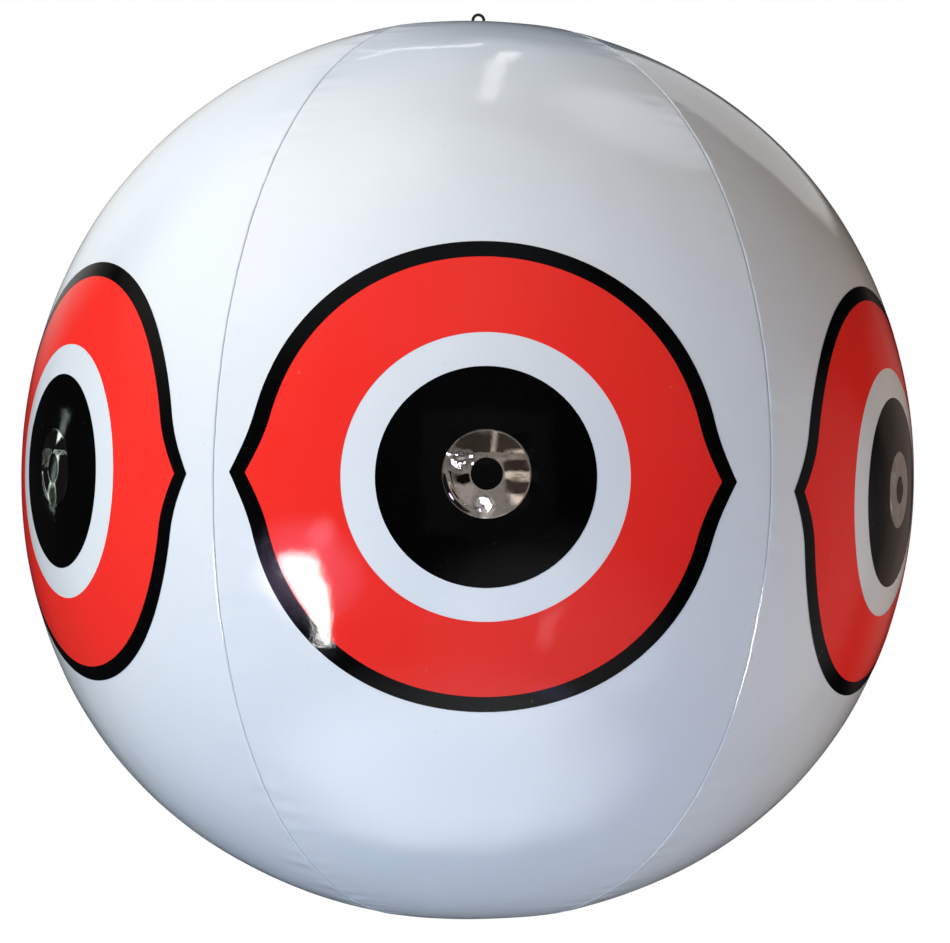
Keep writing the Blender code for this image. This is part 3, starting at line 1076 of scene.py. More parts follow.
@dataclass
class EyePrint:
    """The printed eye of each gore: black line, red iris and black pupil."""

    form: BalloonForm
    outline_radius: float = 0.13098
    outline_width: float = 0.0086
    pupil_share: float = 0.4535
    white_ring_share: float = 0.5963
    corner_reach: float = 0.0100
    corner_half_angle: float = math.radians(15.0)
    overlap: float = 0.0007           # of the black line over the red
    ink: float = 0.00008
    lift: float = 0.00018
    over_lift: float = 0.00026
    innermost: float = 0.06           # share of the pupil's radius that one point closes
    segments: int = 240
    outline_rows: int = 3
    iris_rows: int = 14
    pupil_rows: int = 17
    corner_margin: float = 0.0161     # outline's corners to the welds
    shift_shares: Sequence[float] = (-0.40, 0.17, 0.0, 0.0, 0.0, -0.17)
    rise_shares: Sequence[float] = (0.0, -0.29, 0.0, 0.0, 0.0, -0.09)

    @property
    def offsets(self) -> list[tuple[float, float]]:
        """How far right of its gore's middle and above it each eye is printed."""
        return [(shift * self.corner_margin, rise * self.corner_margin)
                for shift, rise in zip(self.shift_shares, self.rise_shares)]

    def corner(self, turn: float) -> float:
        """How far the corners stand out of the eye's circle at a turn round it."""
        from_level = abs(math.atan2(math.sin(turn), abs(math.cos(turn))))
        return self.corner_reach * max(0.0, 1.0 - from_level / self.corner_half_angle) ** 2

    def lay(self, gore: int, radii: Sequence[float], pointed: Callable[[float], float],
            lift: float, filled: bool = False) -> bpy.types.Object:
        """A layer of ink, drawn flat and laid on its gore.

        Args:
            gore: its number, from 0.
            radii: radius of each row, from the rim inwards.
            pointed: share of the corners' reach that a row has, by its radius.
            lift: height of its face over the film.
            filled: close the middle.

        Returns:
            The new object.
        """
        piece = flat_disc(radii, self.segments, filled)
        shift, rise = self.offsets[gore]
        for vert in piece.data.vertices:
            radius = math.hypot(vert.co.x, vert.co.y)
            turn = math.atan2(vert.co.y, vert.co.x)
            reach = radius + self.corner(turn) * pointed(radius)
            vert.co = self.form.printed_point(gore, reach * math.cos(turn) + shift,
                                              reach * math.sin(turn) + rise, lift)
        thicken(piece, self.ink)
        return piece

    def build(self, finishes: Finishes) -> None:
        """Print the eyes.

        Args:
            finishes: the object's materials.
        """
        iris = self.outline_radius - self.outline_width
        ring = self.outline_radius * self.white_ring_share
        pupil = self.outline_radius * self.pupil_share
        for gore in range(self.form.gore_count):
            number = gore + 1
            line = self.lay(gore, spread(self.outline_radius, iris - self.overlap,
                                         self.outline_rows),
                            lambda radius: 1.0, self.over_lift)
            hand_over(line, f"outline_ink_{number}", finishes.black, Body.BALLOON,
                      f"eye_outline_{number}")
            red = self.lay(gore, spread(iris, ring, self.iris_rows),
                           lambda radius: (radius - ring) / (iris - ring), self.lift)
            hand_over(red, f"iris_ink_{number}", finishes.red, Body.BALLOON,
                      f"eye_iris_{number}")
            black = self.lay(gore, spread(pupil, pupil * self.innermost, self.pupil_rows),
                             lambda radius: 0.0, self.lift, filled=True)
            hand_over(black, f"pupil_ink_{number}", finishes.black, Body.BALLOON,
                      f"eye_pupil_{number}")


@dataclass(frozen=True)
class CrumpledSpot:
    """A part of the mirror ring where its film is crumpled."""

    middle: tuple[float, float]       # to the right of the ring's middle, and above it
    reach: tuple[float, float]        # sideways, and upwards
    share: float                      # of the full crumpling

    def at(self, across: float, up: float) -> float:
        """Share of the full crumpling that it gives to a place on the ring."""
        return (self.share * bell(across - self.middle[0], self.reach[0])
                * bell(up - self.middle[1], self.reach[1]))


@dataclass
class MirrorRing:
    """The crinkled mirror ring stuck on each pupil."""

    form: BalloonForm
    offsets: Sequence[tuple[float, float]]
    radius: float = 0.0238
    hole_radius: float = 0.0086
    rise: float = 0.0018
    thickness: float = 0.00006
    lift: float = 0.00040
    crinkle: float = 0.00004
    coarse_folds: float = 240.0       # in a metre
    fine_folds: float = 520.0         # in a metre, half as high
    gore_seed: float = 0.31           # keeps the rings from looking alike
    edge_dip: float = 0.00003
    curl: float = 0.0004              # height of the bubble under the rim at one place
    curl_turn: float = math.radians(215.0)
    curl_half_width: float = 0.45     # radians
    curl_rise: tuple[float, float] = (0.80, 0.88)       # it rises and falls between these
    curl_fall: tuple[float, float] = (0.89, 0.985)      # shares of the radius
    rim_dip: float = 0.0006           # the rim bends down over this
    hole_dip: float = 0.0005          # and the edge of the hole over this
    rim_crumple: float = 0.22
    rim_band: tuple[float, float] = (0.93, 1.0)         # shares of the radius
    hole_crumple: float = 0.2
    hole_band: tuple[float, float] = (1.16, 1.0)        # shares of the hole's radius
    segments: int = 180
    rows: int = 24
    spots: Sequence[CrumpledSpot] = (
        CrumpledSpot((-0.0140, 0.0060), (0.0065, 0.0048), 1.0),
        CrumpledSpot((-0.0010, -0.0170), (0.0052, 0.0060), 1.0),
        CrumpledSpot((0.0, 0.0095), (math.inf, 0.0018), 0.3),
        CrumpledSpot((0.0180, -0.0010), (0.0060, 0.0014), 0.18),
    )

    def crumple(self, across: float, up: float) -> float:
        """Share of the full crumpling at a place on the ring.

        Args:
            across: distance to the right of the ring's middle.
            up: distance above it.

        Returns:
            The share, from 0 to 1.
        """
        rim = ease(*self.rim_band, math.hypot(across, up) / self.radius)
        hole = ease(*self.hole_band, math.hypot(across, up) / self.hole_radius)
        return min(1.0, sum(spot.at(across, up) for spot in self.spots)
                   + self.rim_crumple * rim + self.hole_crumple * hole)

    def relief(self, gore: int, across: float, up: float) -> float:
        """Height of the crinkled ring over its lift.

        Args:
            gore: the gore's number, from 0.
            across: distance to the right of the ring's middle.
            up: distance above it.

        Returns:
            The height, in metres.
        """
        place = Vector((across, up, self.gore_seed * gore))
        fold = (noise.noise(place * self.coarse_folds)
                + 0.5 * noise.noise(place * self.fine_folds))
        turn = math.atan2(up, across)
        away = math.atan2(math.sin(turn - self.curl_turn), math.cos(turn - self.curl_turn))
        reach = math.hypot(across, up)
        rim = (ease(*self.curl_rise, reach / self.radius)
               - ease(*self.curl_fall, reach / self.radius))
        dip = ease(self.radius - self.rim_dip, self.radius, reach) + ease(
            self.hole_radius + self.hole_dip, self.hole_radius, reach)
        return (self.crinkle * fold * self.crumple(across, up) - self.edge_dip * dip
                + self.curl * rim * bell(away, self.curl_half_width))

    def build(self, finishes: Finishes) -> None:
        """Stick the rings on.

        Args:
            finishes: the object's materials.
        """
        near_rim, near_hole = self.radius - self.rim_dip, self.hole_radius + self.hole_dip
        radii = (spread(self.radius, near_rim, 3) + spread(near_rim, near_hole, self.rows)[1:]
                 + spread(near_hole, self.hole_radius, 3)[1:])
        for gore, (shift, rise) in enumerate(self.offsets):
            piece = flat_disc(radii, self.segments, False)
            crumpled = []
            for vert in piece.data.vertices:
                across, up = vert.co.x, vert.co.y
                crumpled.append(self.crumple(across, up))
                lift = self.lift + self.relief(gore, across, up)
                vert.co = self.form.printed_point(gore, across + shift, up + rise + self.rise,
                                                  lift)
            store(piece, "crumple", crumpled)
            thicken(piece, self.thickness)
            hand_over(piece, f"mirror_ring_{gore + 1}", finishes.mirror, Body.BALLOON,
                      f"pupil_sticker_{gore + 1}")


@dataclass
class PolePatches:
    """The round patches over the ends of the gores."""

    form: BalloonForm
    radius: float = 0.034
    valve_hole_radius: float = 0.0103
    thickness: float = 0.0004
    clearance: float = 0.0005
    middle_point: float = 0.0006      # radius that one point closes in the top patch
    weld_inset: float = 0.0035        # rim to the middle of the pressed weld ring
    weld_reach: float = 0.0011        # from its middle to its edge
    weld_depth: float = 0.00016
    ripple: float = 0.00006
    ripple_pitch: float = 160.0       # ripples in a metre
    segments: int = 96
    rows: int = 22

    def patch(self, pole: Pole) -> bpy.types.Object:
        """One patch, pressed from a flat disc.

        Args:
            pole: where it goes.

        Returns:
            The new object.
        """
        inner = self.middle_point if pole is Pole.TOP else self.valve_hole_radius
        piece = flat_disc(spread(self.radius, inner, self.rows), self.segments, pole is Pole.TOP)
        reach = self.form.pole_radius(pole)
        for vert in piece.data.vertices:
            radius = math.hypot(vert.co.x, vert.co.y)
            latitude = pole.value * math.acos(min(radius / reach, 1.0))
            height = abs(self.form.meridian_radius(latitude) * math.sin(latitude))
            pressed = bell(self.radius - self.weld_inset - radius, self.weld_reach)
            place = Vector((vert.co.x, vert.co.y, pole.value)) * self.ripple_pitch
            height += (self.clearance + self.thickness - self.weld_depth * pressed
                       + self.ripple * noise.noise(place))
            vert.co.z = self.form.centre_z + pole.value * height
        if pole is Pole.BOTTOM:
            with editing(piece):
                bpy.ops.mesh.flip_normals()
        thicken(piece, self.thickness, 50.0)
        return piece

    def build(self, finishes: Finishes) -> None:
        """Make both patches.

        Args:
            finishes: the object's materials.
        """
        for pole, name in ((Pole.TOP, "top_patch"), (Pole.BOTTOM, "bottom_patch")):
            piece = self.patch(pole)
            store(piece, "from_weld", [1.0] * len(piece.data.vertices))
            hand_over(piece, name + "_film", finishes.film, Body.BALLOON, name)


# Hanger

@dataclass
class Hanger:
    """Black disc with a pierced lug, and the link that swings in it."""

    pivot_z: float = -0.0090
    disc_top_z: float = -0.0114
    disc_radius: float = 0.016
    disc_thickness: float = 0.0010
    disc_edge: float = 0.00035        # how far the disc thins towards its rim
    disc_slope: float = 0.0022        # over this
    lug_radius: float = 0.0027
    lug_thickness: float = 0.0026
    lug_squareness: float = 2.2       # how square the corners of its foot are
    lug_steps: int = 36
    hole_radius: float = 0.0015
    wire_radius: float = 0.0010
    parting_ridge: float = 0.05       # share of the wire's radius by which its ridge stands out
    parting_reach: float = 0.16       # and that it reaches to either side
    half_width: float = 0.0038
    straight: float = 0.0024
    hub_radius: float = 0.0062
    hub_height: float = 0.0006
    hub_slope: float = 0.0009
    spin_steps: int = 28

    def base(self) -> bpy.types.Object:
        """The disc with its hub and lug.

        Returns:
            The new object.
        """
        low = self.disc_top_z - self.disc_thickness
        top = self.disc_top_z
        rim = self.disc_radius
        hub = self.hub_radius
        piece = turned([(0.0, low), (rim, low), (rim, top - self.disc_edge),
                        (rim - self.disc_slope, top), (hub + self.hub_slope, top),
                        (hub, top + self.hub_height), (0.0, top + self.hub_height)])
        round_edges(piece, width=0.00018, segments=2, over_degrees=14.0)
        union(piece, self.lug())
        smooth(piece, 38.0)
        return piece

    def lug(self) -> bpy.types.Object:
        """The pierced lug, with its hole along X.

        Returns:
            The new object.
        """
        root = self.pivot_z - self.disc_top_z + self.disc_thickness / 2
        outer, inner = [], []
        for step in range(self.lug_steps):
            turn = math.tau * step / self.lug_steps
            cosine, sine = math.cos(turn), math.sin(turn)
            across, up = self.lug_radius * cosine, self.lug_radius * sine
            if up < 0.0:
                across = math.copysign(self.lug_radius, across) if abs(across) > 1e-9 else 0.0
                across *= min(1.0, self.lug_squareness * abs(cosine))
                up = -root * min(1.0, self.lug_squareness * abs(sine))
            outer.append(Vector((0.0, across, up)))
            inner.append(Vector((0.0, self.hole_radius * cosine, self.hole_radius * sine)))
        piece = outline_loop(outer)
        hole = outline_loop(inner)
        take(piece)
        hole.select_set(True)
        bpy.ops.object.join()
        with editing(piece):
            bpy.ops.mesh.bridge_edge_loops()
            bpy.ops.mesh.select_all(action="SELECT")
            bpy.ops.mesh.extrude_region_move(
                TRANSFORM_OT_translate={"value": (self.lug_thickness, 0, 0)})
        weld(piece)
        move(piece, Vector((-self.lug_thickness / 2, 0.0, self.pivot_z)))
        round_edges(piece, width=0.00025, over_degrees=50.0)
        return piece

    def link(self) -> bpy.types.Object:
        """The link: one wire bent round two half circles.

        Returns:
            The new object.
        """
        lower = self.pivot_z + self.half_width
        upper = lower + self.straight
        deselect_all()
        bpy.ops.mesh.primitive_circle_add(vertices=24, radius=self.wire_radius,
                                          fill_type="NOTHING")
        piece = bpy.context.object
        for vert in piece.data.vertices:
            ridge = bell(vert.co.y, self.parting_reach * self.wire_radius)
            vert.co.x = vert.co.x * (1.0 + self.parting_ridge * ridge) + self.half_width
            vert.co.z = upper
        with editing(piece):
            for centre, run in ((upper, -self.straight), (lower, self.straight)):
                bpy.ops.mesh.spin(steps=self.spin_steps, angle=math.pi, center=(0, 0, centre),
                                  axis=(0, 1, 0))
                bpy.ops.mesh.extrude_edges_move(
                    TRANSFORM_OT_translate={"value": (0, 0, run)})
        weld(piece)
        smooth(piece, 60.0)
        return piece

    def build(self, finishes: Finishes) -> None:
        """Make the base and the link.

        Args:
            finishes: the object's materials.
        """
        hand_over(self.base(), "hanger_moulding", finishes.plastic, Body.BALLOON,
                  "hanger_base")
        hand_over(self.link(), "link_moulding", finishes.plastic, Body.LINK,
                  "hanging_link")


# Air valve

@dataclass
class AirValve:
    """Flanged sleeve, push-in stem, check flap and hinged stopper."""

    flange_top_z: float = -0.6226
    flange_thickness: float = 0.0010
    flange_radius: float = 0.018
    flange_edge: tuple[float, float] = (0.0008, 0.0004)     # its chamfer: in below, down from the top
    groove_radii: tuple[float, float] = (0.0118, 0.0144)    # the pressed weld ring's edges
    groove_slope: float = 0.0004
    groove_depth: float = 0.00035
    sleeve_bore: float = 0.0070
    sleeve_radius: float = 0.0086
    sleeve_length: float = 0.0080
    stem_bore: float = 0.0038
    shank_radius: float = 0.0066
    lip_z: float = -0.6251
    lip_radius: float = 0.0092
    lip_thickness: float = 0.0012
    bead_radius: float = 0.0079
    bead_thickness: float = 0.0016
    bead_edge: tuple[float, float] = (0.0006, 0.0004)       # its chamfer, inwards and down
    stem_top_z: float = -0.6007
    flap_z: float = -0.6004
    flap_radius: float = 0.0064
    flap_thickness: float = 0.0008
    flap_tab: float = 0.0025
    hinge_x: float = -0.0112
    strap_half_width: float = 0.0025
    strap_root: float = 0.0008        # how far the strap's tab goes into the lip
    head_top_z: float = -0.6254
    head_radius: float = 0.0063
    head_thickness: float = 0.0014
    pull_reach: float = 0.0110
    pull_half_width: float = 0.0028
    plug_radius: float = 0.0034
    plug_tip_radius: float = 0.0026
    plug_depth: float = 0.0050
    plug_root: float = 0.0004         # how far it goes into the head
    plug_straight: float = 0.0006     # its straight part above the head
    rib_places: tuple[float, ...] = (0.0071, 0.0084, 0.0097)
    rib_half_width: float = 0.00022
    rib_half_length: float = 0.0019
    rib_thickness: float = 0.0005
    rib_height: float = 0.0003        # how far a rib stands out below the head

    def flange(self) -> bpy.types.Object:
        """The flange with its sleeve and a pressed weld ring.

        Returns:
            The new object.
        """
        top, low = self.flange_top_z, self.flange_top_z - self.flange_thickness
        bore, wall, rim = self.sleeve_bore, self.sleeve_radius, self.flange_radius
        (inner, outer), slope = self.groove_radii, self.groove_slope
        step = low + self.groove_depth
        inset, drop = self.flange_edge
        piece = turned([(bore, low), (inner, low), (inner + slope, step), (outer - slope, step),
                        (outer, low), (rim - inset, low), (rim, top - drop), (rim, top),
                        (wall, top), (wall, top + self.sleeve_length),
                        (bore, top + self.sleeve_length)])
        round_edges(piece, width=0.00015, segments=2, over_degrees=25.0)
        smooth(piece)
        return piece

    def stem(self) -> bpy.types.Object:
        """The push-in stem with its lip, its bead and the tab of the strap.

        Returns:
            The new object.
        """
        low, top = self.lip_z, self.stem_top_z
        bore, shank = self.stem_bore, self.shank_radius
        lip_top = low + self.lip_thickness
        inset, drop = self.bead_edge
        piece = turned([(bore, low), (self.lip_radius, low), (self.lip_radius, lip_top),
                        (shank, lip_top), (shank, top - self.bead_thickness),
                        (self.bead_radius, top - self.bead_thickness),
                        (self.bead_radius, top - drop), (self.bead_radius - inset, top),
                        (bore, top)])
        round_edges(piece, width=0.00022, over_degrees=25.0)
        half = self.strap_half_width
        root = -(self.lip_radius - self.strap_root)
        tab = plate([(self.hinge_x, -half), (root, -half), (root, half), (self.hinge_x, half)],
                    self.lip_thickness)
        move(tab, Vector((0.0, 0.0, low)))
        round_edges(tab, width=0.0002, segments=2)
        union(piece, tab)
        smooth(piece)
        return piece

    @staticmethod
    def tabbed(radius: float, left: float, left_half: float, right: float,
               right_half: float) -> Profile:
        """Outline of a disc with a square tab to the left and a round one to the right.

        Args:
            radius: the disc's radius.
            left: x of the left tab's end.
            left_half: half of its width.
            right: x of the right tab's end, or the radius for none.
            right_half: half of its width.

        Returns:
            The corners, in order.
        """
        def arc(middle: float, reach: float, start: float, end: float,
                steps: int) -> list[tuple[float, float]]:
            """Points of an arc about a middle on the X axis."""
            return [(middle + reach * math.cos(turn), reach * math.sin(turn))
                    for turn in spread(start, end, steps)]

        right_turn, left_turn = math.asin(right_half / radius), math.asin(left_half / radius)
        tip = (arc(right - right_half, right_half, -math.pi / 2, math.pi / 2, 12)
               if right > radius else [])
        return (tip + arc(0.0, radius, right_turn, math.pi - left_turn, 26)
                + [(left, left_half), (left, -left_half)]
                + arc(0.0, radius, math.pi + left_turn, math.tau - right_turn, 26))

    def flap(self) -> bpy.types.Object:
        """The check flap, a thin disc hinged at its tab's edge.

        Returns:
            The new object.
        """
        outline = self.tabbed(self.flap_radius, -self.bead_radius, self.flap_tab,
                              self.flap_radius, self.flap_tab)
        piece = plate(outline, self.flap_thickness)
        move(piece, Vector((0.0, 0.0, self.flap_z)))
        round_edges(piece, width=0.00016, segments=2)
        smooth(piece)
        return piece

    def stopper(self) -> bpy.types.Object:
        """The stopper: head, arm, pull tab with grip ribs, and plug.

        Returns:
            The new object.
        """
        outline = self.tabbed(self.head_radius, self.hinge_x, self.strap_half_width,
                              self.pull_reach, self.pull_half_width)
        piece = plate(outline, self.head_thickness)
        move(piece, Vector((0.0, 0.0, self.head_top_z - self.head_thickness)))
        round_edges(piece, width=0.0003)
        root, tip = self.head_top_z - self.plug_root, self.head_top_z + self.plug_depth
        plug = turned([(0.0, root), (self.plug_radius, root),
                       (self.plug_radius, self.head_top_z + self.plug_straight),
                       (self.plug_tip_radius, tip), (0.0, tip)], 48)
        round_edges(plug, width=0.0003, over_degrees=25.0)
        union(piece, plug)
        half = self.rib_half_length
        for place in self.rib_places:
            left, right = place - self.rib_half_width, place + self.rib_half_width
            rib = plate([(left, -half), (right, -half), (right, half), (left, half)],
                        self.rib_thickness)
            move(rib, Vector((0.0, 0.0, self.head_top_z - self.head_thickness
                              - self.rib_height)))
            union(piece, rib)
        smooth(piece)
        return piece

    def build(self, finishes: Finishes) -> None:
        """Make the valve.

        Args:
            finishes: the object's materials.
        """
        for make, name, body, node in (
                (self.flange, "flange_moulding", Body.BALLOON, "valve_flange"),
                (self.stem, "stem_moulding", Body.STEM, "valve_stem"),
                (self.flap, "flap_moulding", Body.FLAP, "check_flap"),
                (self.stopper, "stopper_moulding", Body.STOPPER, "valve_stopper")):
            hand_over(make(), name, finishes.valve, body, node)


# Studio

@dataclass(frozen=True)
class Lamp:
    """A soft panel aimed at the balloon's middle, which gloss does not show."""

    name: str
    azimuth: float                    # degrees from -Y towards +X
    elevation: float
    level: float                      # what it adds to a white surface that faces it
    colour: Colour
    distance: float = 2.4
    side: float = 1.4


@dataclass(frozen=True)
class Glow:
    """A soft pale region of the room, which only gloss shows."""

    azimuth: float                    # degrees from the camera's side towards the right
    elevation: float
    reach: float                      # degrees from its middle to its edge
    core: float                       # share of the reach that is at full strength
    strength: float
    colour: Colour = (1.0, 1.0, 1.0)


@dataclass(frozen=True)
class Card:
    """A bright or dark panel of the room, which only gloss shows."""

    name: str
    corners: Sequence[tuple[float, float]]    # azimuth and elevation, as of a glow
    strength: float
    colour: Colour = (1.0, 1.0, 1.0)
    distance: float = 7.4

    @staticmethod
    def pane(left: float, right: float, low: float, high: float) -> list[tuple[float, float]]:
        """Corners of an upright rectangle.

        Args:
            left: its least azimuth.
            right: its greatest azimuth.
            low: its least elevation.
            high: its greatest elevation.

        Returns:
            The corners, in order.
        """
        return [(left, low), (right, low), (right, high), (left, high)]


BEIGE: Colour = (1.0, 0.88, 0.76)
UMBER: Colour = (1.0, 0.80, 0.66)


@dataclass
class Studio:
    """Camera, lamps, world, floor and the room that shows in the gloss."""

    centre: Vector = field(default_factory=lambda: Vector((0.0, 0.0, -0.3222)))
    image: tuple[int, int] = (950, 943)
    ball_pixel: tuple[float, float] = (469.2, 476.7)
    focal_pixels: float = 1768.0
    sensor: float = 36.0
    camera_distance: float = 1.237
    camera_azimuth: float = -3.0
    lean: float = math.radians(1.15)
    ambient: float = 0.08
    ambient_colour: Colour = (0.95, 0.98, 1.0)
    floor_z: float = -1.55
    floor_side: float = 40.0
    floor_colour: Colour = (0.91, 0.92, 0.945)
    floor_fade: tuple[float, float] = (1.0, 2.4)    # it turns white between these distances
    room_radius: float = 8.0
    room_base: Colour = (0.011, 0.010, 0.011)
    lamps: Sequence[Lamp] = (
        Lamp("front_panel", 0.0, 0.0, 0.18, (0.94, 0.75, 0.82)),
        Lamp("left_panel", -49.0, 25.0, 0.79, (0.96, 0.96, 0.90)),
        Lamp("low_panel", -18.0, -36.0, 0.60, (0.08, 0.50, 0.90)),
        Lamp("right_panel", 100.0, -4.0, 0.38, (1.0, 0.79, 0.56)),
        Lamp("back_left_panel", -135.0, 50.0, 0.52, (0.32, 0.60, 1.0)),
        Lamp("back_right_panel", 150.0, 0.0, 0.14, (0.60, 0.60, 1.0)),
    )
    glows: Sequence[Glow] = (
        Glow(-78.0, 50.0, 45.0, 0.3, 1.4, (1.0, 0.92, 0.82)),
        Glow(-20.0, 55.0, 40.0, 0.3, 0.9, (0.80, 0.96, 1.0)),
        Glow(-150.0, 30.0, 27.0, 0.3, 0.8, (1.0, 0.95, 0.87)),
        Glow(175.0, 66.0, 23.0, 0.3, 0.5, (0.85, 0.95, 1.0)),
        Glow(154.0, 32.0, 15.0, 0.78, 0.60),
        Glow(95.0, -12.0, 34.0, 0.3, 0.5),
        Glow(18.0, -35.0, 28.0, 0.3, 1.8),
        Glow(-3.0, -72.0, 35.0, 0.3, 3.6, (0.94, 0.98, 1.0)),
        Glow(115.0, 65.0, 15.0, 0.2, 1.6, (0.82, 0.88, 1.0)),
        Glow(139.0, 0.0, 20.0, 0.3, 0.22, (1.0, 0.76, 0.66)),
        Glow(-33.0, -20.5, 12.5, 0.0, 15.0, (0.80, 0.62, 1.0)),
        Glow(-29.0, -12.5, 3.6, 0.0, 13.0, (0.85, 0.75, 1.0)),
    )
    cards: Sequence[Card] = (
        Card("window", ((-37.5, -14.5), (-34.9, -15.1), (-32.2, -15.4), (-30.3, -16.3),
                        (-28.6, -17.7), (-28.7, -19.8), (-27.3, -21.9), (-26.9, -24.6),
                        (-28.0, -26.3), (-28.0, -28.2), (-29.4, -30.8), (-29.9, -33.0),
                        (-31.2, -36.0), (-34.4, -35.0), (-33.4, -31.5), (-34.2, -28.8),
                        (-34.9, -24.0), (-36.0, -21.0), (-37.4, -17.8)), 220.0),
        Card("low_streak", Card.pane(19.0, 22.5, -36.0, -27.5), 10.0, (1.0, 0.85, 0.95)),
        Card("low_streak_foot", Card.pane(21.0, 29.0, -48.0, -44.5), 7.0, (0.6, 0.6, 1.0)),
        Card("left_window", ((-124.3, 2.6), (-122.2, 3.4), (-121.2, 6.2), (-123.0, 6.6)), 2.4,
             (0.85, 1.0, 0.92)),
        Card("left_window_foot", ((-124.0, 1.6), (-122.3, 1.2), (-126.4, -4.2), (-129.0, -3.6)),
             2.0, (0.80, 1.0, 0.90)),
        Card("skylight", ((-160.0, 53.4), (-172.0, 52.2), (178.6, 51.8), (178.6, 53.6),
                          (-172.0, 54.0), (-160.0, 54.6)), 2.0),
        Card("skylight_bar", ((174.4, 57.5), (171.2, 57.5), (157.5, 82.6), (172.5, 82.6)), 2.4),
        Card("far_wall", Card.pane(-8.0, 17.0, -12.0, 13.0), 0.29, (1.0, 0.93, 0.87), 7.9),
        Card("far_wall_foot", Card.pane(-3.0, 2.0, -6.5, -1.8), 0.44, (1.0, 0.89, 0.87)),
        Card("dark_pane_1", Card.pane(-2.2, 4.6, 5.3, 9.8), 0.055, UMBER),
        Card("dark_pane_2", Card.pane(5.6, 11.8, 5.3, 9.6), 0.06, UMBER),
        Card("dark_pane_3", Card.pane(7.8, 12.6, 0.7, 3.8), 0.05, UMBER),
        Card("dark_pane_4", Card.pane(8.6, 13.0, -3.4, -0.6), 0.06, UMBER),
        Card("light_rail_1", Card.pane(-3.2, 12.6, 3.8, 5.3), 0.85, BEIGE, 7.2),
        Card("light_post", Card.pane(4.6, 5.6, 5.3, 10.2), 0.6, BEIGE, 7.2),
        Card("light_rail_2", Card.pane(8.4, 13.6, -0.7, 0.8), 1.0, BEIGE, 7.2),
        Card("light_corner", Card.pane(9.4, 12.0, -5.3, -3.4), 1.1, BEIGE, 7.2),
        Card("shadow", ((-2.9, 0.1), (-2.2, -1.4), (-0.6, -2.0), (1.0, -1.4), (1.7, 0.1),
                        (1.0, 1.6), (-0.6, 2.2), (-2.2, 1.6)), 0.006, UMBER, 7.1),
    )

    def aim(self, azimuth: float, elevation: float) -> Vector:
        """Direction from the balloon's centre.

        Args:
            azimuth: degrees from -Y towards +X.
            elevation: degrees above the horizon.

        Returns:
            The unit vector.
        """
        turn, tilt = math.radians(azimuth), math.radians(elevation)
        return Vector((math.sin(turn) * math.cos(tilt), -math.cos(turn) * math.cos(tilt),
                       math.sin(tilt)))

    def face_balloon(self, piece: bpy.types.Object, azimuth: float, elevation: float,
                     distance: float, roll: float = 0.0) -> None:
        """Place a camera or lamp and aim it at the balloon's centre.

        Args:
            piece: the camera or lamp.
            azimuth: degrees from -Y towards +X.
            elevation: degrees above the horizon.
            distance: from the balloon's centre.
            roll: its turn about its own line of sight.
        """
        bpy.context.scene.collection.objects.link(piece)
        away = self.aim(azimuth, elevation)
        piece.location = self.centre + away * distance
        piece.rotation_mode = "QUATERNION"
        piece.rotation_quaternion = ((-away).to_track_quat("-Z", "Y")
                                     @ Quaternion((0.0, 0.0, 1.0), roll))

    def camera(self) -> None:
        """Set the camera up where the photograph was taken."""
        data = bpy.data.cameras.new("camera")
        width, height = self.image
        data.sensor_width = self.sensor
        data.lens = self.focal_pixels / width * self.sensor
        data.shift_x = (width / 2 - self.ball_pixel[0]) / width
        data.shift_y = (self.ball_pixel[1] - height / 2) / width
        data.clip_start, data.clip_end = 0.05, 50.0
        camera = bpy.data.objects.new("camera", data)
        self.face_balloon(camera, self.camera_azimuth, 0.0, self.camera_distance, self.lean)
        bpy.context.scene.camera = camera

    def hang_lamp(self, lamp: Lamp) -> None:
        """Hang one lamp.

        Args:
            lamp: its place, size and level.
        """
        data = bpy.data.lights.new(lamp.name, "AREA")
        data.shape = "RECTANGLE"
        data.size = data.size_y = lamp.side
        data.color = lamp.colour
        data.energy = lamp.level * math.pi ** 2 * lamp.distance ** 2
        piece = bpy.data.objects.new(lamp.name, data)
        self.face_balloon(piece, lamp.azimuth, lamp.elevation, lamp.distance)
        piece.visible_camera = False
        piece.visible_glossy = False

    @staticmethod
    def seen(sheet: NodeSheet, path: bpy.types.Node) -> bpy.types.NodeSocket:
        """1 for the rays by which a background shows: the camera's, gloss's and glass's.

        Args:
            sheet: where the nodes go.
            path: the Light Path node.

        Returns:
            The value, as a socket.
        """
        direct = sheet.math("ADD", path.outputs["Is Camera Ray"], path.outputs["Is Glossy Ray"])
        return sheet.math("ADD", direct, path.outputs["Is Transmission Ray"])

    @staticmethod
    def bare_material(name: str) -> tuple[bpy.types.Material, NodeSheet]:
        """A material with no nodes yet.

        Args:
            name: its name.

        Returns:
            The material and its sheet.
        """
        material = bpy.data.materials.new(name)
        material.use_nodes = True
        material.node_tree.nodes.clear()
        return material, NodeSheet(material.node_tree)

    def world(self) -> None:
        """A white background for the camera and for gloss, and a low even light for the rest."""
        world = bpy.data.worlds.new("studio")
        bpy.context.scene.world = world
        world.use_nodes = True
        sheet = NodeSheet(world.node_tree)
        world.node_tree.nodes.clear()
        seen = self.seen(sheet, sheet.add("LightPath"))
        soft = sheet.add("Background", {"Color": rgba(self.ambient_colour),
                                        "Strength": self.ambient})
        white = sheet.add("Background", {"Color": (1.0, 1.0, 1.0, 1.0), "Strength": 1.0})
        mixed = sheet.add("MixShader", {0: seen, 1: soft.outputs[0], 2: white.outputs[0]})
        sheet.add("OutputWorld", {"Surface": mixed.outputs[0]})

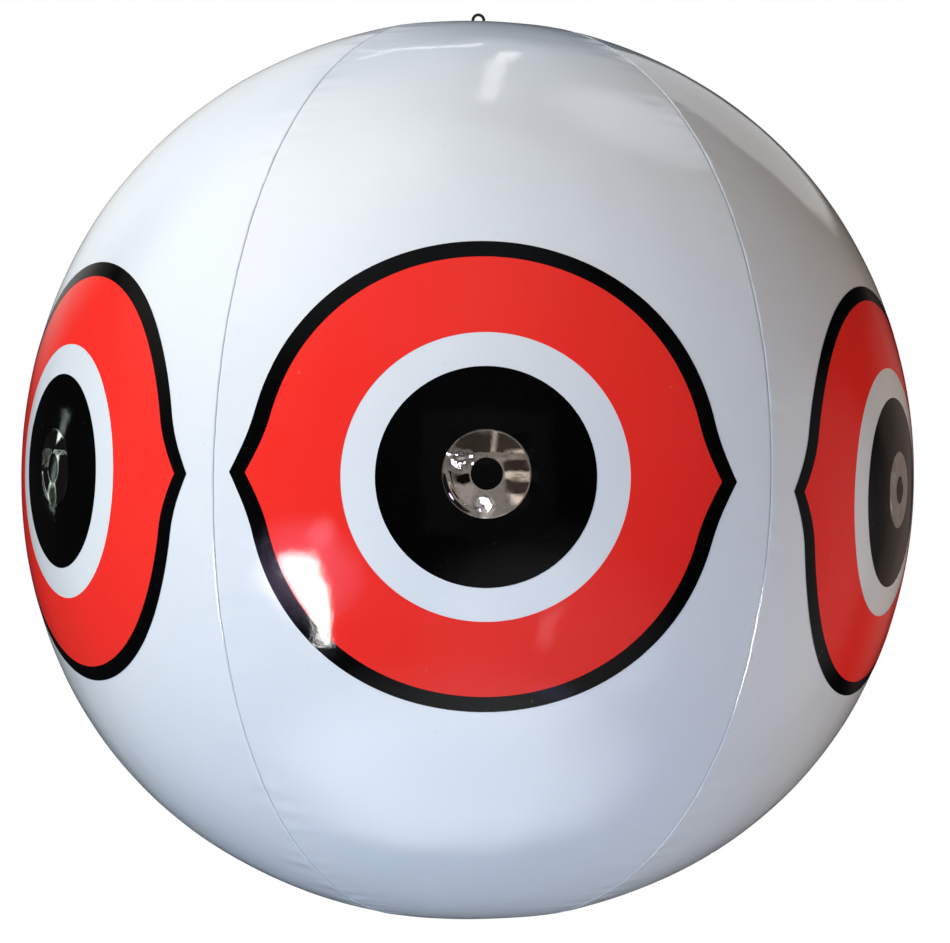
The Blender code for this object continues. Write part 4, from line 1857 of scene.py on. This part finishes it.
    def floor(self) -> None:
        """A pale floor that keeps the shadow, white far off and clear when seen from below."""
        deselect_all()
        bpy.ops.mesh.primitive_plane_add(size=self.floor_side,
                                         location=(0.0, 0.0, self.floor_z))
        piece = bpy.context.object
        piece.name = "studio_floor"
        material, sheet = self.bare_material("pale_floor")
        place = sheet.add("TexCoord").outputs["Object"]
        away = sheet.add("VectorMath", {0: place}, operation="LENGTH").outputs["Value"]
        path = sheet.add("LightPath")
        far = sheet.math("MULTIPLY", self.seen(sheet, path),
                         sheet.ramp(away, *self.floor_fade))
        matt = sheet.add("BsdfDiffuse", {"Color": rgba(self.floor_colour)})
        white = sheet.add("Emission", {"Color": (1.0, 1.0, 1.0, 1.0), "Strength": 1.0})
        mixed = sheet.add("MixShader", {0: far, 1: matt.outputs[0], 2: white.outputs[0]})
        below = sheet.math("MULTIPLY", sheet.add("NewGeometry").outputs["Backfacing"],
                           path.outputs["Is Camera Ray"])
        clear = sheet.add("BsdfTransparent")
        shown = sheet.add("MixShader", {0: below, 1: mixed.outputs[0], 2: clear.outputs[0]})
        sheet.add("OutputMaterial", {"Surface": shown.outputs[0]})
        piece.data.materials.append(material)
        piece.visible_glossy = False

    def hang_in_gloss(self, piece: bpy.types.Object, name: str,
                      light: Callable[[NodeSheet], object]) -> None:
        """Make an object a part of the room that only gloss shows.

        Args:
            piece: the object.
            name: its name, and its material's.
            light: gives its brightness, from its material's sheet.
        """
        piece.name = name
        material, sheet = self.bare_material(name)
        material.cycles.emission_sampling = "NONE"
        shine = sheet.add("Emission", {"Color": light(sheet), "Strength": 1.0})
        sheet.add("OutputMaterial", {"Surface": shine.outputs[0]})
        piece.data.materials.append(material)
        piece.visible_camera = False
        piece.visible_diffuse = False
        piece.visible_transmission = False
        piece.visible_volume_scatter = False
        piece.visible_shadow = False

    def room_light(self, sheet: NodeSheet) -> object:
        """Brightness of the dim room with its pale regions.

        Args:
            sheet: where the nodes go.

        Returns:
            The colour, as a socket.
        """
        place = sheet.add("TexCoord").outputs["Object"]
        way = sheet.add("VectorMath", {0: place}, operation="NORMALIZE").outputs[0]
        total: object = self.room_base
        for glow in self.glows:
            middle = self.aim(glow.azimuth + self.camera_azimuth, glow.elevation)
            facing = sheet.add("VectorMath", {0: way, 1: middle},
                               operation="DOT_PRODUCT").outputs["Value"]
            share = sheet.ramp(facing, math.cos(math.radians(glow.reach)),
                               math.cos(math.radians(glow.reach * glow.core)), 0.0, glow.strength)
            total = sheet.add("VectorMath", {0: share, 1: glow.colour, 2: total},
                              operation="MULTIPLY_ADD").outputs[0]
        return total

    def room(self) -> None:
        """The dim room and its panels, which the photograph's gloss shows."""
        deselect_all()
        bpy.ops.mesh.primitive_ico_sphere_add(subdivisions=4, radius=self.room_radius,
                                              location=self.centre)
        self.hang_in_gloss(bpy.context.object, "dim_room", self.room_light)
        for card in self.cards:
            piece = outline_loop([self.centre + card.distance
                                  * self.aim(azimuth + self.camera_azimuth, elevation)
                                  for azimuth, elevation in card.corners])
            with editing(piece):
                bpy.ops.mesh.edge_face_add()
            colour = rgba(tuple(part * card.strength for part in card.colour))
            self.hang_in_gloss(piece, card.name, lambda sheet, colour=colour: colour)

    def build(self) -> None:
        """Set everything up."""
        self.camera()
        self.world()
        self.floor()
        self.room()
        for lamp in self.lamps:
            self.hang_lamp(lamp)


def main() -> None:
    """Build the balloon and its studio."""
    logging.basicConfig(level=logging.INFO, format="%(name)s: %(message)s")
    bpy.context.scene.view_settings.view_transform = "Standard"
    deselect_all()
    finishes = Finishes()
    form = BalloonForm()
    Studio().build()
    Envelope(form).build(finishes)
    eyes = EyePrint(form)
    eyes.build(finishes)
    MirrorRing(form, eyes.offsets).build(finishes)
    PolePatches(form).build(finishes)
    Hanger().build(finishes)
    AirValve().build(finishes)


if __name__ == "__main__":
    main()
